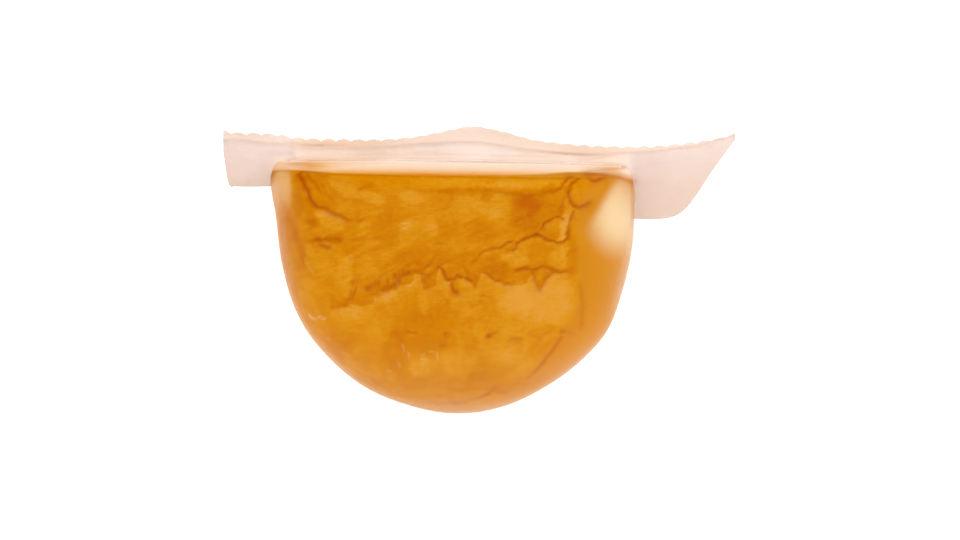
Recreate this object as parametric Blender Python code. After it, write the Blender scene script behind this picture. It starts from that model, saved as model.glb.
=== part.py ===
"""Half a smoked scamorza in a clear shrink bag, standing on its rounded bottom with the cut face up.

Metres, +Z up, -Y to the front. The origin is the centre of the small flat spot that the cheese rests on.
The bag is skin-tight on the cheese, so the cheese's own solid has the bag's outer shape there. The rest of
the bag, a flat flange with a cut-toothed edge and two ears, is a thin wavy solid of its own.
"""

import math

import bmesh
import bpy
from mathutils import Vector, noise

MM = 0.001

# Cheese: half widths to either side of the flat spot, and the exponents of its rounded outline.
CHEESE_HEIGHT = 66.0 * MM
LEFT_HALF_WIDTH = 48.4 * MM
RIGHT_HALF_WIDTH = 46.5 * MM
FRONT_DEPTH = 36.0 * MM
BACK_DEPTH = 35.0 * MM
FLAT_CUT = 0.45 * MM
LEFT_OUTLINE = (3.26, 1.7)
RIGHT_OUTLINE = (3.11, 1.7)
DEPTH_OUTLINE = (2.9, 1.9)
# How far the film draws each end out towards its ear: at most, the heights where that begins and is most, and
# what is left of it at the rim, where the right end is drawn in instead.
LEFT_FLARE = (1.3 * MM, 50 * MM, 62 * MM, 0.6 * MM)
RIGHT_FLARE = (0.2 * MM, 54 * MM, 60 * MM, -0.9 * MM)
FLARE_NARROWNESS = 6
# Exponents of the plan, front and back, at the flat spot and at the rim: 2 is an oval, more is squarer.
FRONT_SQUARENESS = (2.5, 4.8)
BACK_SQUARENESS = (2.2, 2.5)
TOP_TILT = 0.8 * MM
RIM_RADIUS = 2.2 * MM
CUT_FACE_CROWN = 0.5 * MM

# Mesh of the cheese: columns round it, closer together on the front that shows, and rings up its side.
COLUMNS = 104
FRONT_CROWDING = 1.7
SIDE_RINGS = 31
RIM_RINGS = 3
CUT_FACE_RINGS = 6
OUTLINE_STEPS = 720

# Relief: the cracks that run over the front, each a line of (x, height) as seen from the front, in mm.
VIEW_TILT = math.radians(6)
CRACK_DEPTH = 0.9 * MM
CRACK_WIDTH = 1.3 * MM
CRACKS = {
    "top_left": [(-41.9, 63.3), (-39.8, 56.7), (-37.1, 55.1), (-29.7, 50.8)],
    "middle_left": [(-33.8, 27.2), (-24.1, 29.6), (-16.4, 35.5), (-5.8, 38.1)],
    "middle_right": [(-3.2, 35.2), (2.1, 35.2), (6.6, 36.5), (9.3, 34.9), (15.9, 33.1)],
    "upper_right": [(3.7, 39.4), (8.5, 43.1), (19.1, 46.6), (27.0, 44.6), (30.8, 53.2)],
    "corner_right": [(22.0, 47.7), (27.0, 51.7), (28.6, 58.8), (30.2, 62.0)],
    "low_right": [(30.5, 21.1), (27.0, 21.2), (23.0, 14.0), (17.8, 7.9)],
}

# Broad dents and swellings of the front and sides: (x, height, reach, depth), in mm, swellings negative.
DENTS = [
    (-44.0, 40.0, 10.0, 0.5),
    (-20.0, 44.0, 13.0, 0.5),
    (8.0, 52.0, 14.0, 0.4),
    (38.0, 22.0, 8.0, -0.9),
    (44.0, 33.0, 6.0, 0.3),
    (-6.0, 20.0, 16.0, -0.5),
    (36.0, 50.0, 7.0, -0.4),
]
LUMP_HEIGHT = 0.35 * MM
LUMP_SPACING = 17.0 * MM

# Bag: the flange over the cut face, its toothed top edge and the ears beside the cheese.
FILM = 0.5 * MM
GAP = 0.4 * MM
TOOTH_PITCH = 3.975 * MM
TOOTH_HEIGHT = 0.55 * MM
COLUMNS_PER_TOOTH = 4
LEFT_TIP = -62.3 * MM
RIGHT_TIP = 73.4 * MM
TIP_HEIGHT = 1.2 * MM
# Height of the top edge above the flat spot at places along it, in mm.
TOP_EDGE = [(-62.3, 75.3), (-58.5, 74.5), (-50.0, 74.0), (-40.0, 72.9), (-24.0, 72.8), (-13.0, 73.2),
            (-4.0, 74.8), (3.5, 75.9), (11.0, 74.8), (21.0, 72.3), (43.0, 70.8), (56.0, 71.1),
            (66.0, 72.0), (73.4, 73.6)]
# Underside of each ear, the left one nearly square and the right one slanted up to its tip, in mm.
LEFT_EAR_EDGE = [(-62.3, 69.6), (-61.0, 61.2), (-59.4, 60.2), (-48.4, 60.0)]
RIGHT_EAR_EDGE = [(46.5, 51.4), (54.2, 51.4), (58.1, 52.5), (61.3, 55.3), (67.6, 64.4), (73.4, 72.0)]
EAR_ROWS = 4
FLANGE_ROWS = (0.0, 0.12, 0.3, 0.62, 1.0)
FOOT_SPREAD = 1.5 * MM
FOOT_HEIGHT = 1.0 * MM
FOOT_FADE = 7.0 * MM
LONG_WAVE = (1.5 * MM, 58.0 * MM)
SHORT_WAVE = (0.5 * MM, 19.0 * MM)
RIGHT_EAR_CURL = 7.0 * MM
LEFT_EAR_CURL = -2.5 * MM


def clear_scene():
    for obj in list(bpy.data.objects):
        bpy.data.objects.remove(obj)


def smoothstep(low, high, value):
    share = min(1.0, max(0.0, (value - low) / (high - low)))
    return share * share * (3 - 2 * share)


def through(points, x):
    """Height at x of a smooth curve through (x, height) points in mm, in metres (cubic, level-limited)."""
    x_mm = min(max(x / MM, points[0][0]), points[-1][0])
    for index in range(len(points) - 1):
        if x_mm <= points[index + 1][0]:
            break
    before = points[max(index - 1, 0)]
    (x0, y0), (x1, y1) = points[index], points[index + 1]
    after = points[min(index + 2, len(points) - 1)]
    share = (x_mm - x0) / (x1 - x0)
    slope0 = (y1 - before[1]) / (x1 - before[0]) * (x1 - x0)
    slope1 = (after[1] - y0) / (after[0] - x0) * (x1 - x0)
    square, cube = share**2, share**3
    height = (2 * cube - 3 * square + 1) * y0 + (cube - 2 * square + share) * slope0
    height += (3 * square - 2 * cube) * y1 + (cube - square) * slope1
    return height * MM


# ---------------------------------------------------------------- cheese


def outline_share(height, exponents):
    """Share of its full half width that the cheese has at a height: 1 at the rim, small at the flat spot."""
    rise, roundness = exponents
    share = min(1.0, (height + FLAT_CUT) / (CHEESE_HEIGHT + FLAT_CUT))
    return (1 - (1 - share) ** rise) ** (1 / roundness)


def flare_width(height, flare):
    """How much wider an end is at a height than its plain outline."""
    most, start, peak, at_rim = flare
    return most * smoothstep(start, peak, height) + (at_rim - most) * smoothstep(peak, CHEESE_HEIGHT, height)


def section_point(angle, height, inset=0.0):
    """Point on the level section of the cheese at a height; angle 0 is +X and -90 degrees is the front."""
    cosine, sine = math.cos(angle), math.sin(angle)
    at_spot, at_rim = BACK_SQUARENESS if sine > 0 else FRONT_SQUARENESS
    power = 2 / (at_spot + (at_rim - at_spot) * height / CHEESE_HEIGHT)
    if cosine > 0:
        half_width = RIGHT_HALF_WIDTH * outline_share(height, RIGHT_OUTLINE)
        flare = flare_width(height, RIGHT_FLARE)
    else:
        half_width = LEFT_HALF_WIDTH * outline_share(height, LEFT_OUTLINE)
        flare = flare_width(height, LEFT_FLARE)
    half_width += flare * abs(cosine) ** FLARE_NARROWNESS
    depth = (BACK_DEPTH if sine > 0 else FRONT_DEPTH) * outline_share(height, DEPTH_OUTLINE)
    x = math.copysign((half_width - inset) * abs(cosine) ** power, cosine)
    y = math.copysign((depth - inset) * abs(sine) ** power, sine)
    return Vector((x, y, height))


def column_angles():
    """Angles of the columns, evenly far apart along the rim but closer together on the front."""
    dense = [2 * math.pi * step / OUTLINE_STEPS for step in range(OUTLINE_STEPS + 1)]
    rim = [section_point(angle, CHEESE_HEIGHT) for angle in dense]
    lengths = [0.0]
    for start, end in zip(rim, rim[1:]):
        crowding = FRONT_CROWDING if start.y + end.y < 0 else 1.0
        lengths.append(lengths[-1] + (end - start).length * crowding)
    angles = []
    step = 0
    for column in range(COLUMNS):
        wanted = lengths[-1] * column / COLUMNS
        while lengths[step + 1] < wanted:
            step += 1
        share = (wanted - lengths[step]) / (lengths[step + 1] - lengths[step])
        angles.append(dense[step] + share * (dense[step + 1] - dense[step]))
    return angles


def side_heights():
    """Heights of the side's rings, evenly far apart along the left outline from the flat spot to the rim."""
    top = CHEESE_HEIGHT - RIM_RADIUS
    dense = [top * (step / OUTLINE_STEPS) ** 2 for step in range(OUTLINE_STEPS + 1)]
    outline = [section_point(math.pi, height) for height in dense]
    lengths = [0.0]
    for start, end in zip(outline, outline[1:]):
        lengths.append(lengths[-1] + (end - start).length)
    heights = []
    step = 0
    for ring in range(SIDE_RINGS + 1):
        wanted = lengths[-1] * ring / SIDE_RINGS
        while step < OUTLINE_STEPS - 1 and lengths[step + 1] < wanted:
            step += 1
        share = (wanted - lengths[step]) / (lengths[step + 1] - lengths[step])
        heights.append(dense[step] + share * (dense[step + 1] - dense[step]))
    return heights


def crack_distance(x, height, line):
    """Distance in the front view from a place to a crack's line, in metres."""
    place = Vector((x / MM, height / MM))
    nearest = math.inf
    for start, end in zip(line, line[1:]):
        start, along = Vector(start), Vector(end) - Vector(start)
        share = min(1.0, max(0.0, (place - start).dot(along) / along.length_squared))
        nearest = min(nearest, (place - start - share * along).length)
    return nearest * MM


def relief(point):
    """How far the surface lies inside the smooth form: cracks and dents of the front, and lumps all over."""
    seen_height = point.z * math.cos(VIEW_TILT) + point.y * math.sin(VIEW_TILT)
    frontness = smoothstep(0.0, 12 * MM, -point.y)
    depth = 0.0
    if frontness > 0:
        nearest = min(crack_distance(point.x, seen_height, line) for line in CRACKS.values())
        depth += CRACK_DEPTH * math.exp(-((nearest / CRACK_WIDTH) ** 2)) * frontness
    for x, height, reach, dent in DENTS:
        away = math.hypot(point.x / MM - x, seen_height / MM - height) / reach
        depth += dent * MM * math.exp(-(away**2)) * (0.4 + 0.6 * frontness)
    depth -= LUMP_HEIGHT * noise.noise(point / LUMP_SPACING)
    return depth


def tilted(point):
    """The cut face is a little higher on the left; the lean dies out towards the flat spot."""
    return Vector((point.x, point.y, point.z * (1 - TOP_TILT / CHEESE_HEIGHT * point.x / LEFT_HALF_WIDTH)))


def cut_face_height(x, y):
    """Height of the cut face, which is slightly crowned, at a place on it."""
    away = math.hypot(x / LEFT_HALF_WIDTH, y / FRONT_DEPTH)
    crown = CUT_FACE_CROWN * (1 - min(1.0, away) ** 2)
    return tilted(Vector((x, y, CHEESE_HEIGHT + crown))).z


def cheese_rings(angles):
    """Rings of points from the flat spot up the side, round the rim and in over the cut face."""
    rings = []
    for height in side_heights():
        ring = []
        for angle in angles:
            point = section_point(angle, height)
            outward = Vector((point.x / LEFT_HALF_WIDTH**2, point.y / FRONT_DEPTH**2, 0)).normalized()
            # The relief dies out at the flat spot and at the rim, so that both stay clean.
            fade = smoothstep(0, 6 * MM, height) * smoothstep(CHEESE_HEIGHT, CHEESE_HEIGHT - 5 * MM, height)
            ring.append(tilted(point - outward * relief(point) * fade))
        rings.append(ring)
    for step in range(1, RIM_RINGS + 1):
        turn = math.pi / 2 * step / RIM_RINGS
        height = CHEESE_HEIGHT - RIM_RADIUS * (1 - math.sin(turn))
        inset = RIM_RADIUS * (1 - math.cos(turn))
        rings.append([tilted(section_point(angle, height, inset)) for angle in angles])
    for step in range(1, CUT_FACE_RINGS):
        share = 1 - step / CUT_FACE_RINGS
        ring = []
        for angle in angles:
            edge = section_point(angle, CHEESE_HEIGHT, RIM_RADIUS)
            x, y = edge.x * share, edge.y * share
            ring.append(Vector((x, y, cut_face_height(x, y))))
        rings.append(ring)
    return rings


def make_cheese():
    mesh = bmesh.new()
    rings = [[mesh.verts.new(point) for point in ring] for ring in cheese_rings(column_angles())]
    for lower, upper in zip(rings, rings[1:]):
        for column in range(COLUMNS):
            after = (column + 1) % COLUMNS
            mesh.faces.new((lower[column], lower[after], upper[after], upper[column]))
    mesh.faces.new(reversed(rings[0]))
    centre = mesh.verts.new((0, 0, cut_face_height(0, 0)))
    for column in range(COLUMNS):
        mesh.faces.new((rings[-1][column], rings[-1][(column + 1) % COLUMNS], centre))
    return object_from("scamorza", mesh, rind_material())


# ---------------------------------------------------------------- bag


def flange_columns():
    """x of each column of the flange from tip to tip, four to a tooth, and the two columns where the ears
    begin, which stand just clear of the cheese's sides."""
    count = round((RIGHT_TIP - LEFT_TIP) / TOOTH_PITCH * COLUMNS_PER_TOOTH)
    columns = [LEFT_TIP + (RIGHT_TIP - LEFT_TIP) * index / count for index in range(count + 1)]
    ear_starts = []
    for side in (-LEFT_HALF_WIDTH - LEFT_FLARE[0] - GAP, RIGHT_HALF_WIDTH + RIGHT_FLARE[0] + GAP):
        nearest = min(range(len(columns)), key=lambda index: abs(columns[index] - side))
        columns[nearest] = side
        ear_starts.append(nearest)
    return columns, ear_starts


def top_edge_height(x):
    """The flange's toothed top edge."""
    tooth = abs(math.cos(math.pi * (x - LEFT_TIP) / TOOTH_PITCH))
    return through(TOP_EDGE, x) - TOOTH_HEIGHT * (1 - tooth)


def ear_bottom_height(x):
    edge = through(LEFT_EAR_EDGE if x < 0 else RIGHT_EAR_EDGE, x)
    return min(edge, top_edge_height(x) - TIP_HEIGHT)


def wave(x, z):
    """How far the film stands back from the plane Y = 0: still at its foot, wavy at its edge, ears curled."""
    rise = smoothstep(CHEESE_HEIGHT, CHEESE_HEIGHT + 8 * MM, z)
    long_size, long_length = LONG_WAVE
    short_size, short_length = SHORT_WAVE
    back = rise * long_size * math.sin(2 * math.pi * x / long_length + 0.8)
    back += rise * short_size * math.sin(2 * math.pi * x / short_length)
    past_right = max(0.0, x - RIGHT_HALF_WIDTH) / (RIGHT_TIP - RIGHT_HALF_WIDTH)
    past_left = max(0.0, -x - LEFT_HALF_WIDTH) / (-LEFT_TIP - LEFT_HALF_WIDTH)
    return back + RIGHT_EAR_CURL * past_right**2 + LEFT_EAR_CURL * past_left**2


def foot_width(x, rise):
    """Extra thickness at a rise over the cut face, where the two films part and spread over it."""
    inside = smoothstep(0, FOOT_FADE, x + LEFT_HALF_WIDTH) * smoothstep(0, FOOT_FADE, RIGHT_HALF_WIDTH - x)
    return FOOT_SPREAD * inside * math.exp(-rise / FOOT_HEIGHT)


def film_pair(x, z, foot=0.0):
    """The front and back points of the film at a place in the front view."""
    half = (FILM + foot) / 2
    back = wave(x, z)
    return Vector((x, back - half, z)), Vector((x, back + half, z))


def flange_points(columns, ear_starts):
    """Pairs of points by (column, row). The rows from EAR_ROWS up run the whole length, from the level of
    the cut face to the toothed edge, and those below it are in the ears alone."""
    points = {}
    for column, x in enumerate(columns):
        top = top_edge_height(x)
        if ear_starts[0] < column < ear_starts[1]:
            base = cut_face_height(x, 0) + GAP
            for row, share in enumerate(FLANGE_ROWS, EAR_ROWS):
                rise = (top - base) * share
                points[column, row] = film_pair(x, base + rise, foot_width(x, rise))
            for point in points[column, EAR_ROWS]:
                point.z = cut_face_height(point.x, point.y) + GAP
            continue
        start = columns[ear_starts[0 if x < 0 else 1]]
        level = cut_face_height(start, 0) + GAP - ear_bottom_height(start)
        bottom = ear_bottom_height(x)
        base = bottom + (top - bottom) * level / (top_edge_height(start) - ear_bottom_height(start))
        for row in range(EAR_ROWS):
            points[column, row] = film_pair(x, bottom + (base - bottom) * row / EAR_ROWS)
        for row, share in enumerate(FLANGE_ROWS, EAR_ROWS):
            points[column, row] = film_pair(x, base + (top - base) * share)
    return points


def make_flange():
    columns, ear_starts = flange_columns()
    points = flange_points(columns, ear_starts)
    mesh = bmesh.new()
    verts = {place: [mesh.verts.new(point) for point in pair] for place, pair in points.items()}
    cells = set()
    for column in range(len(columns) - 1):
        in_centre = ear_starts[0] <= column < ear_starts[1]
        for row in range(EAR_ROWS if in_centre else 0, EAR_ROWS + len(FLANGE_ROWS) - 1):
            cells.add((column, row))
    for column, row in sorted(cells):
        corners = [(column, row), (column + 1, row), (column + 1, row + 1), (column, row + 1)]
        beside = [(column, row - 1), (column + 1, row), (column, row + 1), (column - 1, row)]
        mesh.faces.new([verts[corner][0] for corner in corners])
        mesh.faces.new([verts[corner][1] for corner in reversed(corners)])
        for start, end, neighbour in zip(corners, corners[1:] + corners[:1], beside):
            if neighbour not in cells:
                mesh.faces.new([verts[end][0], verts[start][0], verts[start][1], verts[end][1]])
    return object_from("bag_flange", mesh, film_material())


# ---------------------------------------------------------------- materials and objects


def plain_material(name, colour, roughness, alpha=1.0):
    material = bpy.data.materials.new(name)
    material.use_nodes = True
    shader = material.node_tree.nodes["Principled BSDF"]
    shader.inputs["Base Color"].default_value = (*colour, 1)
    shader.inputs["Roughness"].default_value = roughness
    shader.inputs["Metallic"].default_value = 0.0
    shader.inputs["Alpha"].default_value = alpha
    return material


def rind_material():
    """Amber smoked rind, glossy under its film."""
    return plain_material("smoked_rind", (0.68, 0.27, 0.02), 0.3)


def film_material():
    """Clear film with a faint peach tint."""
    return plain_material("bag_film", (0.85, 0.68, 0.58), 0.2, alpha=0.6)


def object_from(name, mesh, material):
    bmesh.ops.recalc_face_normals(mesh, faces=mesh.faces)
    data = bpy.data.meshes.new(name)
    mesh.to_mesh(data)
    mesh.free()
    data.shade_smooth()
    data.set_sharp_from_angle(angle=math.radians(50))
    data.materials.append(material)
    obj = bpy.data.objects.new(name, data)
    bpy.context.scene.collection.objects.link(obj)
    return obj


def main():
    clear_scene()
    make_cheese()
    make_flange()


main()
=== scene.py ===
"""Looks of half a smoked scamorza in a clear shrink bag: the cheese, its film and a pale studio round them.

Lengths are in millimetres until a mesh is made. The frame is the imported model's: +Z up, -Y to the front, the
origin at the centre of the flat spot that the cheese rests on.
"""

import math
import random

import bpy
import numpy as np
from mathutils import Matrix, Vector, noise


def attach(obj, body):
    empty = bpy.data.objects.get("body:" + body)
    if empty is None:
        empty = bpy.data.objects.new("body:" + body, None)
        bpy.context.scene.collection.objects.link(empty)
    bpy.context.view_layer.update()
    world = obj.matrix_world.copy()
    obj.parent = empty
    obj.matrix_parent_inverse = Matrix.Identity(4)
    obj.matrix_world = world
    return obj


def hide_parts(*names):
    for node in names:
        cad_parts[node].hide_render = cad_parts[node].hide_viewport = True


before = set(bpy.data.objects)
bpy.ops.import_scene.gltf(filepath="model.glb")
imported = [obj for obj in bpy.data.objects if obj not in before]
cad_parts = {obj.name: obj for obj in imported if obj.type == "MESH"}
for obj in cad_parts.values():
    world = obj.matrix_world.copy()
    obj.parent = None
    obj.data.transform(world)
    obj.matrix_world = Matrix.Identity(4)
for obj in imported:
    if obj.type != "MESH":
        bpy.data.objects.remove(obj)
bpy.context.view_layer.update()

MM = 0.001

# ---- sizes of the form, as in the CAD

CHEESE_HEIGHT = 66.0
LEFT_HALF_WIDTH = 48.4
RIGHT_HALF_WIDTH = 46.5
FRONT_DEPTH = 36.0
BACK_DEPTH = 35.0
FLAT_CUT = 0.45
LEFT_OUTLINE = (3.26, 1.7)
RIGHT_OUTLINE = (3.11, 1.7)
DEPTH_OUTLINE = (2.9, 1.9)
LEFT_FLARE = (1.3, 50.0, 62.0, 0.6)
RIGHT_FLARE = (0.2, 54.0, 60.0, -0.9)
FLARE_NARROWNESS = 6
FRONT_SQUARENESS = (2.5, 4.8)
BACK_SQUARENESS = (2.2, 2.5)
TOP_TILT = 0.8
RIM_RADIUS = 2.2
CUT_FACE_CROWN = 0.5

TOOTH_PITCH = 3.975
TOOTH_HEIGHT = 0.25
LEFT_TIP = -62.3
RIGHT_TIP = 73.4
TOP_EDGE = [(-62.3, 75.3), (-58.5, 74.5), (-50, 74), (-40, 72.9), (-24, 72.8), (-13, 73.2), (-4, 74.8),
    (3.5, 75.9), (11, 74.8), (21, 72.3), (43, 70.8), (56, 71.1), (66, 72), (73.4, 73.6)]
LEFT_EAR_EDGE = [(-62.3, 69.6), (-61.0, 61.2), (-59.4, 60.2), (-48.4, 60.0)]
RIGHT_EAR_EDGE = [(46.5, 51.4), (54.2, 51.4), (58.1, 52.5), (61.3, 55.3), (67.6, 64.4), (73.4, 72.0)]
TIP_HEIGHT = 1.2
LONG_WAVE = (1.5, 58.0)
SHORT_WAVE = (0.5, 19.0)
RIGHT_EAR_CURL = 7.0
LEFT_EAR_CURL = -2.5

# How finely an outline is sampled before rings or columns are spread evenly along it.
DENSE_SAMPLES = 4001
FACE_RING_CROWDING = 1.6
# Of the smooth noise: how far apart two seeds lie, and how each octave follows from the one before.
SEED_STEP = 17.31
OCTAVE_LOSS = 0.9
OCTAVE_RATIO = 2.0

# ---- the photograph's view

VIEW_ELEVATION = math.radians(6)
VIEW_DISTANCE = 2000.0
AIM = Vector((5.57, 0.0, 37.8))
LENS = 283.0
SENSOR = 36.0


def smoothstep(low, high, value):
    share = np.clip((value - low) / (high - low), 0, 1)
    return share * share * (3 - 2 * share)


def bump(distance, width):
    """1 on a line and falling off smoothly within about a width of it."""
    return np.exp(-((distance / width) ** 2))


def through(points, x):
    """Height at x of a smooth curve through (x, height) points, as in the CAD."""
    xs = np.array([point[0] for point in points])
    ys = np.array([point[1] for point in points])
    x = np.clip(x, xs[0], xs[-1])
    index = np.clip(np.searchsorted(xs, x) - 1, 0, len(xs) - 2)
    before = np.maximum(index - 1, 0)
    after = np.minimum(index + 2, len(xs) - 1)
    run = xs[index + 1] - xs[index]
    share = (x - xs[index]) / run
    slope0 = (ys[index + 1] - ys[before]) / (xs[index + 1] - xs[before]) * run
    slope1 = (ys[after] - ys[index]) / (xs[after] - xs[index]) * run
    square, cube = share**2, share**3
    height = (2 * cube - 3 * square + 1) * ys[index] + (cube - 2 * square + share) * slope0
    return height + (3 * square - 2 * cube) * ys[index + 1] + (cube - square) * slope1


def noise_at(points, size, seed, octaves=1):
    """Smooth noise from about -1 to 1 at each point. size is one length, or one for each axis."""
    scaled = points / np.array(size) + seed * SEED_STEP
    if octaves == 1:
        return np.array([noise.noise(Vector(point)) for point in scaled.tolist()])
    return np.array([noise.fractal(Vector(point), OCTAVE_LOSS, OCTAVE_RATIO, octaves)
                     for point in scaled.tolist()])


# ---- the cheese's form


def outline_share(height, exponents):
    """Share of its full half width that the cheese has at a height."""
    rise, roundness = exponents
    share = np.clip((height + FLAT_CUT) / (CHEESE_HEIGHT + FLAT_CUT), 0, 1)
    return (1 - (1 - share) ** rise) ** (1 / roundness)


def flare_width(height, flare):
    """How much wider an end is at a height than its plain outline."""
    most, start, peak, at_rim = flare
    return most * smoothstep(start, peak, height) + (at_rim - most) * smoothstep(peak, CHEESE_HEIGHT, height)


def section(angle, height, inset=0.0):
    """Points on the level sections of the smooth form; angle 0 is +X and -90 degrees is the front."""
    cosine, sine = np.cos(angle), np.sin(angle)
    right = RIGHT_HALF_WIDTH * outline_share(height, RIGHT_OUTLINE)
    left = LEFT_HALF_WIDTH * outline_share(height, LEFT_OUTLINE)
    narrow = np.abs(cosine) ** FLARE_NARROWNESS
    right = right + flare_width(height, RIGHT_FLARE) * narrow
    left = left + flare_width(height, LEFT_FLARE) * narrow
    half_width = np.where(cosine > 0, right, left)
    depth = np.where(sine > 0, BACK_DEPTH, FRONT_DEPTH) * outline_share(height, DEPTH_OUTLINE)
    at_spot = np.where(sine > 0, BACK_SQUARENESS[0], FRONT_SQUARENESS[0])
    at_rim = np.where(sine > 0, BACK_SQUARENESS[1], FRONT_SQUARENESS[1])
    power = 2 / (at_spot + (at_rim - at_spot) * height / CHEESE_HEIGHT)
    x = np.sign(cosine) * (half_width - inset) * np.abs(cosine) ** power
    y = np.sign(sine) * (depth - inset) * np.abs(sine) ** power
    return np.stack([x, y, height + 0 * x], axis=-1)


def tilted(points):
    """The cut face is a little higher on the left; the lean dies out towards the flat spot."""
    points = points.copy()
    points[..., 2] *= 1 - TOP_TILT / CHEESE_HEIGHT * points[..., 0] / LEFT_HALF_WIDTH
    return points


def cut_face_height(x, y):
    away = np.minimum(1.0, np.hypot(x / LEFT_HALF_WIDTH, y / FRONT_DEPTH))
    height = CHEESE_HEIGHT + CUT_FACE_CROWN * (1 - away**2)
    return height * (1 - TOP_TILT / CHEESE_HEIGHT * x / LEFT_HALF_WIDTH)


def evenly_along(places, lengths, count):
    """count + 1 of the places, evenly far apart by their running lengths."""
    return np.interp(np.linspace(0, lengths[-1], count + 1), lengths, places)


def running_lengths(points, weights=1.0):
    steps = np.linalg.norm(np.diff(points, axis=0), axis=1) * weights
    return np.concatenate([[0.0], np.cumsum(steps)])


def column_angles(columns, front_crowding):
    """Angles of the columns, evenly far apart along the rim but closer together on the front."""
    dense = np.linspace(0, 2 * math.pi, DENSE_SAMPLES)
    rim = section(dense, CHEESE_HEIGHT)
    weights = np.where(rim[1:, 1] + rim[:-1, 1] < 0, front_crowding, 1.0)
    return evenly_along(dense, running_lengths(rim, weights), columns)[:-1]


def side_heights(rings):
    """Heights of the side's rings, evenly far apart along the left outline from the flat spot to the rim."""
    dense = (CHEESE_HEIGHT - RIM_RADIUS) * np.linspace(0, 1, DENSE_SAMPLES) ** 2
    outline = section(np.full(len(dense), math.pi), dense)
    return evenly_along(dense, running_lengths(outline), rings)


def form_rings(angles, side_rings, rim_rings, face_rings):
    """The smooth closed form as an array of rings by columns, from the flat spot over the rim to near the
    middle of the cut face, and the number of rings up to where the rim begins to turn."""
    rings = [section(angles, np.full(len(angles), height)) for height in side_heights(side_rings)]
    turning = len(rings)
    for step in range(1, rim_rings + 1):
        turn = math.pi / 2 * step / rim_rings
        height = np.full(len(angles), CHEESE_HEIGHT - RIM_RADIUS * (1 - math.sin(turn)))
        rings.append(section(angles, height, RIM_RADIUS * (1 - math.cos(turn))))
    rings = [tilted(ring) for ring in rings]
    edge = section(angles, np.full(len(angles), CHEESE_HEIGHT), RIM_RADIUS)
    for step in range(1, face_rings):
        share = 1 - (step / face_rings) ** FACE_RING_CROWDING
        x, y = edge[:, 0] * share, edge[:, 1] * share
        rings.append(np.stack([x, y, cut_face_height(x, y)], axis=-1))
    return np.array(rings), turning


def ring_normals(rings):
    """Outward unit normals of an array of rings by columns."""
    across = np.roll(rings, -1, axis=1) - np.roll(rings, 1, axis=1)
    along = np.gradient(rings, axis=0)
    normals = np.cross(across, along)
    return normals / np.maximum(np.linalg.norm(normals, axis=-1, keepdims=True), 1e-9)


def closed_faces(ring_count, columns):
    """Quads between neighbouring rings, with one face over the flat spot and a fan over the middle."""
    index = np.arange(ring_count * columns).reshape(ring_count, columns)
    after = np.roll(index, -1, axis=1)
    quads = np.stack([index[:-1], after[:-1], after[1:], index[1:]], axis=-1).reshape(-1, 4)
    middle = ring_count * columns
    fan = np.stack([index[-1], after[-1], np.full(columns, middle)], axis=-1)
    return quads.tolist() + fan.tolist() + [index[0][::-1].tolist()]


# ---- marks on the rind

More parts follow.
